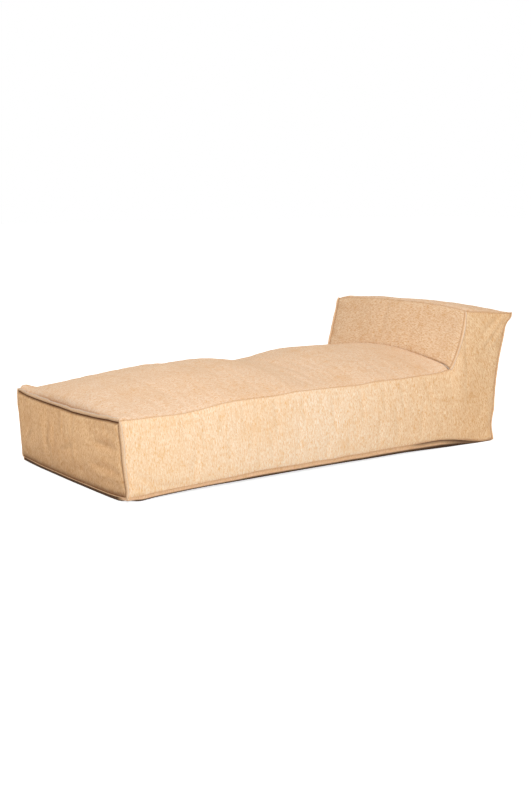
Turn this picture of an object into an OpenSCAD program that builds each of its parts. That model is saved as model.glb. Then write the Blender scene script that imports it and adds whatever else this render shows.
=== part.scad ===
// Chaise longue: a soft filled block with a headrest, in one sewn and zipped cover.
// Millimetres, +Z up, +X from the foot end to the headrest, the near side at -Y.
// The origin lies on the floor, under the middle of the outline.

/* [Block] */
// Length of the underside, from its foot seam to its back seam
base_l = 1754; // [1400:4:2200]
// Width across the seams of the underside
base_w = 816; // [640:4:1000]
// Width across the seams of the seat
seat_w = 784; // [620:4:980]
// Height of the seat's corners at the foot end
foot_h = 287; // [220:1:380]
// Height of the seat's corners at the headrest
nook_h = 321; // [240:1:400]
// Height of the underside's corners
hem_h = 12; // [11:1:30]
// How far the foot's upper corners stand out past its lower ones
foot_lean = 11; // [0:1:60]

/* [Headrest] */
// Depth of the headrest at the seat
head_d = 245; // [200:2:360]
// Depth of the headrest's top
head_top_d = 262; // [180:2:380]
// Width across the seams of the headrest's top
head_w = 804; // [620:2:1000]
// Height of the headrest's front upper corners
head_front_h = 555; // [440:1:700]
// Height of the headrest's back upper corners
head_back_h = 528; // [430:1:680]
// How far the headrest's front leans back between the seat and its top
head_lean = 66; // [0:2:120]

/* [Filling out] */
// Rise of the seat's crown over its seams, in the middle of its length
seat_crown = 79; // [40:1:110]
// How much fuller the crown is at the foot end than at the headrest
crown_fall = 73; // [0:1:80]
// Depth of the valley over the first baffle
calf_valley_d = 11; // [0:1:20]
// Half width of that valley
calf_valley_w = 72; // [40:2:120]
// Depth of the hollow over the second baffle
hip_valley_d = 44; // [0:1:50]
// Half width of that hollow
hip_valley_w = 145; // [80:5:200]
// Sag of the foot's upper seam between its corners
foot_sag = 15; // [0:1:40]
// Rise of the seam in the nook between seat and headrest
nook_rise = 48; // [0:1:70]
// Rise of the headrest's front upper seam
head_rise = 17; // [0:1:40]
// Rise of the underside's long seams off the floor
hem_rise = 36; // [0:1:60]
// Width of the underside's rim that curls up off the floor
curl_w = 92; // [60:2:140]
// How far the corners stand out of their seams like ears
ear = 8; // [0:1:20]
// Slight bow of the seams that run across the ends
end_bow = 4; // [0:1:12]
// How far the back's tall seams are drawn in between their corners
draw_in = 16; // [0:1:30]
// Swell of the foot panel
foot_swell = 12; // [0:1:40]
// Swell of the long sides
side_swell = 18; // [0:1:40]
// Swell of the headrest's front
head_swell = 10; // [0:1:24]
// Swell of the headrest's top
top_swell = 16; // [0:1:50]
// Swell of the back
back_swell = 26; // [0:1:50]

/* [Cover] */
// Thickness of the chenille with its backing
cover_t = 3; // [2:0.1:4]
// Height of the flat welt that stands out of the tall seams, the foot's top seam and the nook
welt_h = 9; // [6:0.5:14]
// Height of the low ridge along all other seams
ridge_h = 1.6; // [1:0.1:4]
// Sewing clearance between a welt and the panels beside it
sew_fit = 0.3; // [0.2:0.05:0.6]

/* [Bags] */
// Clear space between the cover and the bags that fill it out
bag_clear = 12; // [9:1:30]
// Thickness of the bags' cloth
bag_t = 1.2; // [0.8:0.1:3]
// Clearance between a bag, what lies on it and what lies in it
bag_fit = 0.3; // [0.2:0.05:0.8]
// Place of the first baffle along the seat's length, between calves and thighs
baffle_calf = 505; // [400:5:640]
// Place of the second baffle along the seat's length, between thighs and hips
baffle_hip = 840; // [760:5:1040]
// Length of the seat bag's filling mouth
mouth_l = 260; // [120:10:400]
// Length of the headrest bag's filling mouth
head_mouth_l = 140; // [80:10:180]
// Height of the bags' filling mouths
mouth_w = 24; // [12:1:40]
// Lap of a mouth's closing flap past the mouth
flap_lap = 10; // [5:1:20]

/* [Zip] */
// Height of the zip's middle line
zip_z = 76; // [60:1:120]
// Opening between the two panel edges along the zip
zip_gap = 18; // [16:0.5:26]
// Thickness of a zip tape
tape_t = 1.2; // [0.8:0.1:1.6]
// Depth of the tapes' faces under the panels' faces
tape_drop = 1; // [0.4:0.1:1.6]
// Width of one row of the zip's coil
coil_w = 2.8; // [2:0.1:3.4]
// Height of the coil over its tape
coil_h = 2.4; // [1.6:0.1:3]
// Gap between the two rows of coil
coil_gap = 1; // [0.9:0.1:1.6]
// Length of a zip stop
stop_l = 6; // [3:0.5:10]
// Bare tape between a stop and the corner seam
tape_end = 26; // [24:1:40]
// Length of the slider
slider_l = 16; // [12:1:24]
// Thickness of the slider's plates
plate_t = 1.5; // [1:0.1:2.2]
// Thickness of the slider's side lips
lip_t = 1.2; // [0.8:0.1:1.8]
// Length of the pull tab past its pin
pull_l = 30; // [16:1:45]
// Width of the pull tab
pull_w = 6; // [5:0.5:7]
// Thickness of the pull tab
pull_t = 1.4; // [1:0.1:2]
// Radius of the pull's pin
pin_r = 0.8; // [0.6:0.05:1.2]
// Clearance of the pull's bore round its pin
pin_fit = 0.08; // [0.05:0.01:0.1]
// Wall of the pull's eye round its pin
eye_wall = 0.9; // [0.6:0.05:1.4]
// Clearance between the zip's moving pieces and what they run on
run_fit = 0.3; // [0.2:0.05:0.35]

/* [Hidden] */

cover_colour = [0.87, 0.71, 0.51];
welt_colour = [0.78, 0.66, 0.52];
bag_colour = [0.93, 0.92, 0.88];
fill_colour = [0.97, 0.97, 0.95];
tape_colour = [0.80, 0.66, 0.48];
coil_colour = [0.72, 0.58, 0.42];
metal_colour = [0.62, 0.60, 0.56];

// Mesh counts
round_n = 32;
across_n = 12;
seat_n = 18;
nook_n = 3;
head_n = 4;
hem_n = 2;
rise_n = 6;
bag_across_n = 8;
chamber_n = 5;

// How the forms fill out: exponents, and the share of a bow that bends softly
firm_power = 8;
end_power = 12;
tip_power = 60;
crown_power = 0.3;
curl_power = 1.6;
hem_soft = 0.7;
// How far the nook's welt stands out of its corner, as a share of the cover's thickness
lip_share = 0.6;
// How far stations crowd towards a seam's ends
crowding = 0.6;
// Where the side's columns under the headrest's front end, as a share of its lean
fan = 0.6;
// Depth of the flat that the underside stands on
floor_cut = 0.5;

// Corner stations along the length
back_x = foot_lean + base_l;
nook_x = back_x - head_d;
front_x = nook_x + head_lean;
rear_x = front_x + head_top_d;
x_mid = rear_x/2;

// Corners, for side s = -1 (near) or 1 (far)
function at(x, half, z, s) = [x - x_mid, s*half, z];
function foot_base(s) = at(foot_lean, base_w/2, hem_h, s);
function foot_top(s) = at(0, seat_w/2, foot_h, s);
function nook(s) = at(nook_x, seat_w/2, nook_h, s);
function head_front(s) = at(front_x, head_w/2, head_front_h, s);
function head_back(s) = at(rear_x, head_w/2, head_back_h, s);
function back_base(s) = at(back_x, base_w/2, hem_h, s);

// A seam runs from corner to corner with a soft bow and a firm one, which is flat in its middle
function mix(a, b, t) = a + (b - a)*t;
function soft(t) = 1 - pow(abs(2*t - 1), 2);
function firm(t) = 1 - pow(abs(2*t - 1), firm_power);
function seam(p, q, bow_soft, bow_firm, t) = mix(p, q, t) + bow_soft*soft(t) + bow_firm*firm(t);

// Seams of the long sides, from the foot or from the floor onwards
function foot_seam(s, t) = seam(foot_base(s), foot_top(s), [ear/2, 0, 0], [0, 0, 0], t);
function seat_seam(s, t) = seam(foot_top(s), nook(s), [0, 0, ear], [0, 0, -ear], t);
function front_seam(s, t) = seam(nook(s), head_front(s), [ear, s*ear, 0], [0, 0, 0], t);
function top_seam(s, t) = seam(head_front(s), head_back(s), [0, 0, 0], [0, 0, -ear/4], t);
function back_seam(s, t) = seam(back_base(s), head_back(s),
    [-ear, -s*draw_in/2, 0], [-ear, -s*draw_in/2, 0], t);
function base_seam(s, t) = seam(foot_base(s), back_base(s),
    [0, 0, hem_rise*hem_soft], [0, 0, hem_rise*(1 - hem_soft)], t);

// Seams across, from the near side to the far side
function foot_top_seam(t) = seam(foot_top(-1), foot_top(1),
    [0, 0, -foot_sag/2], [end_bow/2, 0, -foot_sag/2], t);
function foot_base_seam(t) = seam(foot_base(-1), foot_base(1), [-end_bow, 0, end_bow], [0, 0, end_bow], t);
function nook_seam(t) = seam(nook(-1), nook(1), [0, 0, nook_rise], [0, 0, 0], t);
function head_front_seam(t) = seam(head_front(-1), head_front(1), [-end_bow, 0, head_rise], [0, 0, 0], t);
function head_back_seam(t) = seam(head_back(-1), head_back(1), [0, 0, head_rise/2], [-ear, 0, 0], t);
function back_base_seam(t) = seam(back_base(-1), back_base(1), [end_bow, 0, end_bow], [0, 0, end_bow], t);

// Stations crowd towards both ends of a seam, where it turns fastest
function station(i, n) = mix(i/n, 0.5 - 0.5*cos(180*i/n), crowding);
function stations(n) = [for (i = [0:n]) station(i, n)];
function even(n) = [for (i = [0:n]) i/n];
function tail(list) = [for (i = [1:len(list) - 1]) list[i]];
function body(list) = [for (i = [0:len(list) - 2]) list[i]];
function turned(list) = [for (i = [len(list) - 1:-1:0]) list[i]];

// The tall seams' stations stop at both edges of the zip
tall_h = head_back_h - hem_h;
zip_low = (zip_z - zip_gap/2 - hem_h)/tall_h;
zip_high = (zip_z + zip_gap/2 - hem_h)/tall_h;
tall_v = concat(stations(hem_n)*zip_low, [for (v = stations(rise_n)) mix(zip_high, 1, v)]);

// The sides' columns fan out from the underside to the seat, the headrest's front and its top
nook_u = (nook_x - foot_lean)/base_l;
front_u = nook_u + fan*head_lean/base_l;
base_u = concat(
    stations(seat_n)*nook_u,
    tail([for (u = stations(nook_n)) mix(nook_u, front_u, u)]),
    tail([for (u = stations(head_n)) mix(front_u, 1, u)]));

// Every panel stops at edge_r from its seam line, and a welt's root at cover_t
edge_r = cover_t + sew_fit;

// Directions into the side panel at each of its corners, in the order of the welt's loop
into_base = [1, 0, 1];
into_foot = [1, 0, -1];
into_back = [-1, 0, -1];
into_hem = [-1, 0, 1];

// A patch between four seams: c0 and c1 run along u at v = 0 and 1, d0 and d1 along v at u = 0 and 1
function coons(u, v, c0, c1, d0, d1) =
    mix(c0(u), c1(u), v) + mix(d0(v), d1(v), u)
    - mix(mix(c0(0), c0(1), u), mix(c1(0), c1(1), u), v);
function spread(o, u, v) = mix(mix(o[0], o[1], u), mix(o[2], o[3], u), v);

// Solid between an outer grid and an inner one, rows of equal counts, with u x v pointing outwards
module sheet(outer, inner) {
    nu = len(outer) - 1;
    nv = len(outer[0]) - 1;
    function id(i, j, layer) = (layer*(nu + 1) + i)*(nv + 1) + j;
    skin = [for (i = [0:nu - 1], j = [0:nv - 1]) each [
        [id(i, j, 0), id(i + 1, j, 0), id(i + 1, j + 1, 0)],
        [id(i, j, 0), id(i + 1, j + 1, 0), id(i, j + 1, 0)],
        [id(i, j, 1), id(i + 1, j + 1, 1), id(i + 1, j, 1)],
        [id(i, j, 1), id(i, j + 1, 1), id(i + 1, j + 1, 1)]
    ]];
    long_edges = [for (i = [0:nu - 1]) each [
        [id(i, 0, 0), id(i, 0, 1), id(i + 1, 0, 1)],
        [id(i, 0, 0), id(i + 1, 0, 1), id(i + 1, 0, 0)],
        [id(i, nv, 0), id(i + 1, nv, 1), id(i, nv, 1)],
        [id(i, nv, 0), id(i + 1, nv, 0), id(i + 1, nv, 1)]
    ]];
    end_edges = [for (j = [0:nv - 1]) each [
        [id(0, j, 0), id(0, j + 1, 1), id(0, j, 1)],
        [id(0, j, 0), id(0, j + 1, 0), id(0, j + 1, 1)],
        [id(nu, j, 0), id(nu, j, 1), id(nu, j + 1, 1)],
        [id(nu, j, 0), id(nu, j + 1, 1), id(nu, j + 1, 0)]
    ]];
    faces = [for (f = concat(skin, long_edges, end_edges)) turned(f)];
    points = concat([for (row = outer) each row], [for (row = inner) each row]);
    polyhedron(points, faces, convexity = 6);
}

// Strip through a list of sections, closed into a loop or capped at its ends
module strip(sections, loop) {
    n = len(sections);
    m = len(sections[0]);
    function id(i, j) = (i % n)*m + j % m;
    walls = [for (i = [0:(loop ? n - 1 : n - 2)], j = [0:m - 1]) each [
        [id(i, j), id(i, j + 1), id(i + 1, j + 1)],
        [id(i, j), id(i + 1, j + 1), id(i + 1, j)]
    ]];
    caps = loop ? [] : [for (j = [1:m - 2]) each [
        [id(0, 0), id(0, j + 1), id(0, j)],
        [id(n - 1, 0), id(n - 1, j), id(n - 1, j + 1)]
    ]];
    polyhedron([for (s = sections) each s], concat(walls, caps), convexity = 6);
}

// Panel of the cover: its outer grid, and an inner one that lies cover_t deeper
function panel_grid(us, vs, c0, c1, d0, d1, o, swell) = [for (u = us) [for (v = vs)
    coons(u, v, c0, c1, d0, d1) + spread(o, u, v)*edge_r + swell(u, v)]];
function sunk(grid, way, depth) = [for (row = grid) [for (p = row) p + way*depth]];
module panel(grid, inward) sheet(grid, sunk(grid, inward, cover_t));

// The seat's crown, with a valley over each baffle
function valley(x) = calf_valley_d*exp(-pow((x - baffle_calf)/calf_valley_w, 2))
    + hip_valley_d*exp(-pow((x - baffle_hip)/hip_valley_w, 2));
function seat_point(u, v) = coons(u, v,
    function(t) seat_seam(-1, t), function(t) seat_seam(1, t),
    function(t) foot_top_seam(t), function(t) nook_seam(t))
    + [0, 0, soft(v)
        *((seat_crown + crown_fall*(0.5 - u))*pow(soft(u), crown_power) - valley(u*nook_x))];

module seat_panel() color(cover_colour) {
    grid = [for (u = stations(seat_n)) [for (v = stations(across_n))
        seat_point(u, v) + spread([[1, 1, 0], [-1, 1, 0], [1, -1, 0], [-1, -1, 0]], u, v)*edge_r]];
    panel(grid, [0, 0, -1]);
}

module foot_panel() color(cover_colour)
    panel(panel_grid(tall_v, stations(across_n),
        function(t) foot_seam(-1, t), function(t) foot_seam(1, t),
        function(t) foot_base_seam(t), function(t) foot_top_seam(t),
        [[0, 1, 1], [0, 1, -1], [0, -1, 1], [0, -1, -1]],
        function(u, v) [-foot_swell*soft(u)*soft(v), 0, 0]), [1, 0, 0]);

module headrest_front_panel() color(cover_colour)
    panel(panel_grid(stations(nook_n), stations(across_n),
        function(t) front_seam(-1, t), function(t) front_seam(1, t),
        function(t) nook_seam(t), function(t) head_front_seam(t),
        [[0, 1, 1], [0, 1, -1], [0, -1, 1], [0, -1, -1]],
        function(u, v) [-head_swell*soft(u)*soft(v), 0, 0]), [1, 0, 0]);

function head_top_grid(us, vs) = panel_grid(us, vs,
    function(t) top_seam(-1, t), function(t) top_seam(1, t),
    function(t) head_front_seam(t), function(t) head_back_seam(t),
    [[1, 1, 0], [-1, 1, 0], [1, -1, 0], [-1, -1, 0]],
    function(u, v) [0, 0, top_swell*soft(u)*soft(v)]);
module headrest_top_panel() color(cover_colour)
    panel(head_top_grid(stations(head_n), stations(across_n)), [0, 0, -1]);

// Both panels of the back end at the zip in straight edges, in one upright plane
zip_x = back_seam(-1, (zip_low + zip_high)/2)[0];
function onto_zip(s, t) = [zip_x - back_seam(s, t)[0], 0, 0];
function zip_edge(t, u) = mix(back_seam(-1, t) + onto_zip(-1, t), back_seam(1, t) + onto_zip(1, t), u);

module back_panel() color(cover_colour)
    panel(panel_grid(stations(across_n), stations(rise_n),
        function(t) zip_edge(zip_high, t), function(t) head_back_seam(t),
        function(t) back_seam(-1, mix(zip_high, 1, t)) + (1 - t)*onto_zip(-1, zip_high),
        function(t) back_seam(1, mix(zip_high, 1, t)) + (1 - t)*onto_zip(1, zip_high),
        [[0, 1, 0], [0, -1, 0], [0, 1, -1], [0, -1, -1]],
        function(u, v) [back_swell*soft(u)*soft(v), 0, 0]), [-1, 0, 0]);

module back_hem_panel() color(cover_colour)
    panel(panel_grid(stations(across_n), stations(hem_n),
        function(t) back_base_seam(t), function(t) zip_edge(zip_low, t),
        function(t) back_seam(-1, t*zip_low) + t*onto_zip(-1, zip_low),
        function(t) back_seam(1, t*zip_low) + t*onto_zip(1, zip_low),
        [[0, 1, 1], [0, -1, 1], [0, 1, 0], [0, -1, 0]],
        function(u, v) [0, 0, 0]), [-1, 0, 0]);

// The underside curls up to its seams and lies flat within curl_w of them
function rim(u, v) = pow(max(0, 1 - min(base_w*min(u, 1 - u), base_l*min(v, 1 - v))/curl_w), curl_power);
module base_panel() color(cover_colour) {
    grid = panel_grid(stations(across_n), base_u,
        function(t) foot_base_seam(t), function(t) back_base_seam(t),
        function(t) base_seam(-1, t), function(t) base_seam(1, t),
        [[1, 1, 0], [1, -1, 0], [-1, 1, 0], [-1, -1, 0]], function(u, v) [0, 0, 0]);
    us = stations(across_n);
    laid = [for (i = [0:len(grid) - 1]) [for (j = [0:len(base_u) - 1])
        let (p = grid[i][j], r = rim(us[i], base_u[j])) [p[0], p[1], mix(-floor_cut, p[2], r)]]];
    difference() {
        panel(laid, [0, 0, 1]);
        translate([-rear_x, -base_w, -hem_h]) cube([2*rear_x, 2*base_w, hem_h]);
    }
}

// The near side is one panel from the underside's seam to the seat, the headrest's front and its top
function side_grid() =
    let (top = concat(
            [for (t = stations(seat_n)) seat_seam(-1, t) + into_foot*edge_r],
            tail([for (t = stations(nook_n)) front_seam(-1, t) + into_foot*edge_r]),
            tail([for (t = stations(head_n)) top_seam(-1, t) + mix(into_foot, into_back, t)*edge_r])),
        low = [for (u = base_u) base_seam(-1, u) + mix(into_base, into_hem, u)*edge_r],
        left = [for (v = tall_v) foot_seam(-1, v) + mix(into_base, into_foot, v)*edge_r],
        right = [for (v = tall_v) back_seam(-1, v) + mix(into_hem, into_back, v)*edge_r],
        last = len(tall_v) - 1)
    [for (i = [0:len(base_u) - 1]) [for (j = [0:last])
        let (u = base_u[i], v = tall_v[j])
        mix(low[i], top[i], v)
        + (left[j] - mix(left[0], left[last], v))*pow(1 - u, end_power)
        + (right[j] - mix(right[0], right[last], v))*pow(u, end_power)
        + [0, -side_swell*firm(u)*soft(v), 0]]];
module side_panel() panel(side_grid(), [0, 1, 0]);
module near_side_panel() color(cover_colour) side_panel();
module far_side_panel() color(cover_colour) mirror([0, 1, 0]) side_panel();

// A side's welt is one mitred loop round its panel: its root, then a lip that is tall or a low ridge
lip_out = welt_h/sqrt(2);
ridge_out = ridge_h/sqrt(2);
loop_in = [0, 1, 0];
function lip(t) = lip_out;
function ridge(t) = mix(ridge_out, lip_out, pow(abs(2*t - 1), tip_power));
function loop_section(p, into, out) =
    let (a = p + loop_in*cover_t, b = p + into*cover_t)
    [a, p + (loop_in + into)*cover_t, b, b + out, a + out];
function loop_run(list, f, into0, into1, out0, out1, height) =
    [for (t = list) loop_section(f(t), mix(into0, into1, t), mix(out0, out1, t)*height(t))];
out_base = [-1, -1, -1];
out_foot = [-1, -1, 1];
out_back = [1, -1, 1];
out_hem = [1, -1, -1];
module side_welt() strip(concat(
    body(loop_run(tall_v, function(t) foot_seam(-1, t), into_base, into_foot, out_base, out_foot,
        function(t) lip(t))),
    body(loop_run(stations(seat_n), function(t) seat_seam(-1, t), into_foot, into_foot, out_foot, out_foot,
        function(t) ridge(t))),
    body(loop_run(stations(nook_n), function(t) front_seam(-1, t), into_foot, into_foot, out_foot, out_foot,
        function(t) lip(t))),
    body(loop_run(stations(head_n), function(t) top_seam(-1, t), into_foot, into_back, out_foot, out_back,
        function(t) ridge(t))),
    body(turned(loop_run(tall_v, function(t) back_seam(-1, t), into_hem, into_back, out_hem, out_back,
        function(t) lip(t)))),
    body(turned(loop_run(base_u, function(t) base_seam(-1, t), into_base, into_hem, out_base, out_hem,
        function(t) ridge(t))))
), true);
module near_side_welt() color(welt_colour) side_welt();
module far_side_welt() color(welt_colour) mirror([0, 1, 0]) side_welt();

// A welt across runs between both loops, with roots along directions a and b
module cross_welt(f, a, b, height) strip([for (t = stations(across_n))
    let (p = f(t) + [0, edge_r*(1 - 2*t), 0], out = -(a + b)*height(t))
    [p + a*cover_t, p + (a + b)*cover_t, p + b*cover_t, p + b*cover_t + out, p + a*cover_t + out]], false);
module foot_top_welt() color(welt_colour)
    cross_welt(function(t) foot_top_seam(t), [0, 0, -1], [1, 0, 0], function(t) lip(t));
module foot_base_welt() color(welt_colour)
    cross_welt(function(t) foot_base_seam(t), [1, 0, 0], [0, 0, 1], function(t) ridge(t));
module headrest_front_welt() color(welt_colour)
    cross_welt(function(t) head_front_seam(t), [0, 0, -1], [1, 0, 0], function(t) ridge(t));
module headrest_back_welt() color(welt_colour)
    cross_welt(function(t) head_back_seam(t), [-1, 0, 0], [0, 0, -1], function(t) ridge(t));
module back_base_welt() color(welt_colour)
    cross_welt(function(t) back_base_seam(t), [0, 0, 1], [-1, 0, 0], function(t) ridge(t));

// The nook's welt fills its inner corner and hardly shows
nook_lip = lip_share*cover_t;
module nook_welt() color(welt_colour) strip([for (t = stations(across_n))
    let (p = nook_seam(t) + [0, edge_r*(1 - 2*t), 0], c = cover_t)
    [p + [-c, 0, 0], p + [-c, 0, -c], p + [c, 0, -c], p + [c, 0, c], p + [0, 0, c],
     p + [-nook_lip, 0, nook_lip]]], false);

// Zip: two tapes between the panels of the back, a coil on each, stops, a slider and its pull
zip_half = -back_seam(-1, zip_high)[1] - edge_r;
tape_x = zip_x - tape_drop;
tape_in = tape_x - tape_t;
coil_x = tape_x + coil_h;
coil_z = coil_gap/2 + coil_w;
stop_y = zip_half - tape_end;

module zip_box(x0, x1, y0, y1, z0, z1) translate([x0, y0, zip_z + z0]) cube([x1 - x0, y1 - y0, z1 - z0]);
module upside() translate([0, 0, 2*zip_z]) mirror([0, 0, 1]) children();
module tape() zip_box(tape_in, tape_x, -zip_half, zip_half, coil_gap/2, zip_gap/2 - sew_fit);
module coil() zip_box(tape_x, coil_x, stop_l - stop_y, stop_y - stop_l, coil_gap/2, coil_z);
module zip_tape_upper() color(tape_colour) tape();
module zip_tape_lower() color(tape_colour) upside() tape();
module zip_coil_upper() color(coil_colour) coil();
module zip_coil_lower() color(coil_colour) upside() coil();
module zip_closed_stop() color(metal_colour) {
    zip_box(tape_x, coil_x, -stop_y, stop_l - stop_y, coil_gap/2, coil_z);
    upside() zip_box(tape_x, coil_x, -stop_y, stop_l - stop_y, coil_gap/2, coil_z);
}
module zip_open_stop() color(metal_colour)
    zip_box(tape_x, coil_x, stop_y - stop_l, stop_y, -coil_z, coil_z);

// The slider's web runs in the gap between both rows of coil, and its lips beside them
nose_l = 3;
ear_wall = 1;
slider_y = stop_l - stop_y + run_fit + slider_l/2;
slider_in = tape_in - run_fit - plate_t;
slider_out = coil_x + run_fit + plate_t;
lip_z = coil_z + run_fit;
web_half = coil_gap/2 - run_fit;
web_l = slider_l - 2*nose_l;
eye_r = pin_r + pin_fit + eye_wall;
pin_x = slider_out + eye_r + run_fit;
ear_l = 2*(pin_r + ear_wall);
ear_z = pull_w/2 + run_fit;
module zip_slider() color(metal_colour) {
    union() {
        zip_box(slider_in, slider_in + plate_t, slider_y - slider_l/2, slider_y + slider_l/2, -lip_z, lip_z);
        zip_box(slider_out - plate_t, slider_out, slider_y - slider_l/2, slider_y + slider_l/2,
            -lip_z - lip_t, lip_z + lip_t);
        zip_box(slider_in, slider_out, slider_y - web_l/2, slider_y + web_l/2, -web_half, web_half);
        for (s = [0, 1]) mirror_about(s) {
            zip_box(tape_x + run_fit, slider_out, slider_y - slider_l/2, slider_y + slider_l/2,
                lip_z, lip_z + lip_t);
            zip_box(slider_out - plate_t, pin_x + pin_r + ear_wall, slider_y - ear_l/2, slider_y + ear_l/2,
                ear_z, ear_z + ear_wall);
        }
        translate([pin_x, slider_y, zip_z - ear_z - ear_wall/2])
            cylinder(r = pin_r, h = 2*ear_z + ear_wall, $fn = round_n);
    }
}
module mirror_about(s) {
    if (s == 1) upside() children();
    else children();
}
hole_r = 1.4;
module zip_pull() color(metal_colour) difference() {
    union() {
        translate([pin_x, slider_y, zip_z - pull_w/2]) cylinder(r = eye_r, h = pull_w, $fn = round_n);
        zip_box(pin_x - pull_t/2, pin_x + pull_t/2, slider_y, slider_y + pull_l, -pull_w/2, pull_w/2);
    }
    translate([pin_x, slider_y, zip_z - pull_w]) cylinder(r = pin_r + pin_fit, h = 2*pull_w, $fn = round_n);
    translate([pin_x - pull_t, slider_y + pull_l - pull_w/2, zip_z]) rotate([0, 90, 0])
        cylinder(r = hole_r, h = 2*pull_t, $fn = round_n);
}

// Bags: everything inside keeps bag_clear from the cover and rests on the underside
bag_half = min(base_w, seat_w, head_w - 2*draw_in)/2 - cover_t - bag_clear;
bag_foot = foot_lean + cover_t + bag_clear;
bag_back = zip_x + x_mid - cover_t - bag_clear;
bag_curl = hem_rise + hem_h + 2*bag_clear;
function bag_top(x, y) = seat_point(min(1, (x - cover_t - bag_clear)/nook_x), 0.5 + y/seat_w)[2]
    - cover_t - bag_clear;
function bag_low(x, y) = cover_t + bag_fit + bag_curl*max(0, 1 -
    min(base_w/2 - abs(y), x - foot_lean, back_x - x)/curl_w);

// The bag and its fillings share their rows, so that their faces keep one distance
head_foot_x = nook_x + cover_t + bag_clear;
walls = [bag_foot, baffle_calf, baffle_hip, head_foot_x, bag_back];
bag_rows = [for (c = [0:3]) each [for (u = body(even(chamber_n))) mix(walls[c], walls[c + 1], u)]];
function rows(x0, x1) = concat([x0], [for (x = bag_rows) if (x > x0 + 2*bag_t && x < x1 - 2*bag_t) x], [x1]);
function bag_grid(f, x0, x1, half) = [for (x = rows(x0, x1)) [for (v = stations(bag_across_n))
    let (y = mix(-half, half, v)) [x - x_mid, y, f(x, y)]]];
module seat_block(x0, x1, inset) {
    half = bag_half - inset;
    sheet(bag_grid(function(x, y) bag_top(x, y) - inset, x0, x1, half),
        bag_grid(function(x, y) bag_low(x, y) + inset, x0, x1, half));
}
bag_in = bag_t + bag_fit;
mouth_z = (nook_h - mouth_w)/2;
module seat_bag() color(bag_colour) difference() {
    seat_block(bag_foot, bag_back, 0);
    seat_block(bag_foot + bag_t, bag_back - bag_t, bag_t);
    translate([bag_back - x_mid - 2*bag_t, -mouth_l/2, mouth_z]) cube([3*bag_t, mouth_l, mouth_w]);
}
module seat_bag_flap() color(bag_colour)
    translate([bag_back - x_mid + bag_fit, -mouth_l/2 - flap_lap, mouth_z - flap_lap])
    cube([bag_t, mouth_l + 2*flap_lap, mouth_w + 2*flap_lap]);
module baffle(x) color(bag_colour) seat_block(x - bag_t/2, x + bag_t/2, bag_in);
module seat_baffle_calf() baffle(baffle_calf);
module seat_baffle_hip() baffle(baffle_hip);
wall_in = bag_t/2 + bag_fit;
module seat_fill(x0, x1) color(fill_colour) seat_block(x0, x1, bag_in);
module seat_fill_calf() seat_fill(bag_foot + bag_in, baffle_calf - wall_in);
module seat_fill_thigh() seat_fill(baffle_calf + wall_in, baffle_hip - wall_in);
module seat_fill_hip() seat_fill(baffle_hip + wall_in, bag_back - bag_in);

// The headrest's bag lies on the seat's bag, between the leaning front and the back
function back_at(z) = mix(back_x, rear_x, (z - hem_h)/tall_h) - 2*ear - cover_t - bag_clear;
head_low_x = min(bag_back, back_at(nook_h));
bag_rear = rear_x - ear - cover_t - bag_clear;
function head_bag_low(inset) = [for (u = even(head_n)) [for (v = stations(bag_across_n))
    let (x = mix(head_foot_x + inset, head_low_x - inset, u), y = mix(-1, 1, v)*(bag_half - inset))
    [x - x_mid, y, bag_top(head_foot_x, y) + bag_fit + inset]]];
function head_bag_top(inset) =
    let (us = even(head_n), vs = stations(bag_across_n),
        top = head_top_grid(us, vs))
    [for (i = [0:head_n]) [for (j = [0:bag_across_n])
        let (x = mix(front_x + cover_t + bag_clear + inset, bag_rear - inset, us[i]),
            y = mix(-1, 1, vs[j])*(bag_half - inset))
        [x - x_mid, y, top[i][j][2] - cover_t - bag_clear - inset]]];
module head_block(inset) sheet(head_bag_top(inset), head_bag_low(inset));
head_mouth_x = (nook_x + front_x + back_x + rear_x)/4;
head_mouth_z = (nook_h + head_back_h)/2;
module headrest_bag() color(bag_colour) difference() {
    head_block(0);
    head_block(bag_t);
    translate([head_mouth_x - x_mid - head_mouth_l/2, -bag_half - bag_t, head_mouth_z])
        cube([head_mouth_l, 3*bag_t, mouth_w]);
}
module headrest_bag_flap() color(bag_colour)
    translate([head_mouth_x - x_mid - head_mouth_l/2 - flap_lap, -bag_half - bag_fit - bag_t,
        head_mouth_z - flap_lap])
    cube([head_mouth_l + 2*flap_lap, bag_t, mouth_w + 2*flap_lap]);
module headrest_fill() color(fill_colour) head_block(bag_in);

seat_panel();
foot_panel();
near_side_panel();
far_side_panel();
headrest_front_panel();
headrest_top_panel();
back_panel();
back_hem_panel();
base_panel();
near_side_welt();
far_side_welt();
foot_top_welt();
foot_base_welt();
nook_welt();
headrest_front_welt();
headrest_back_welt();
back_base_welt();
zip_tape_upper();
zip_tape_lower();
zip_coil_upper();
zip_coil_lower();
zip_closed_stop();
zip_open_stop();
zip_slider();
zip_pull();
seat_bag();
seat_bag_flap();
seat_baffle_calf();
seat_baffle_hip();
seat_fill_calf();
seat_fill_thigh();
seat_fill_hip();
headrest_bag();
headrest_bag_flap();
headrest_fill();
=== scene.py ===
from math import radians

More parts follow.
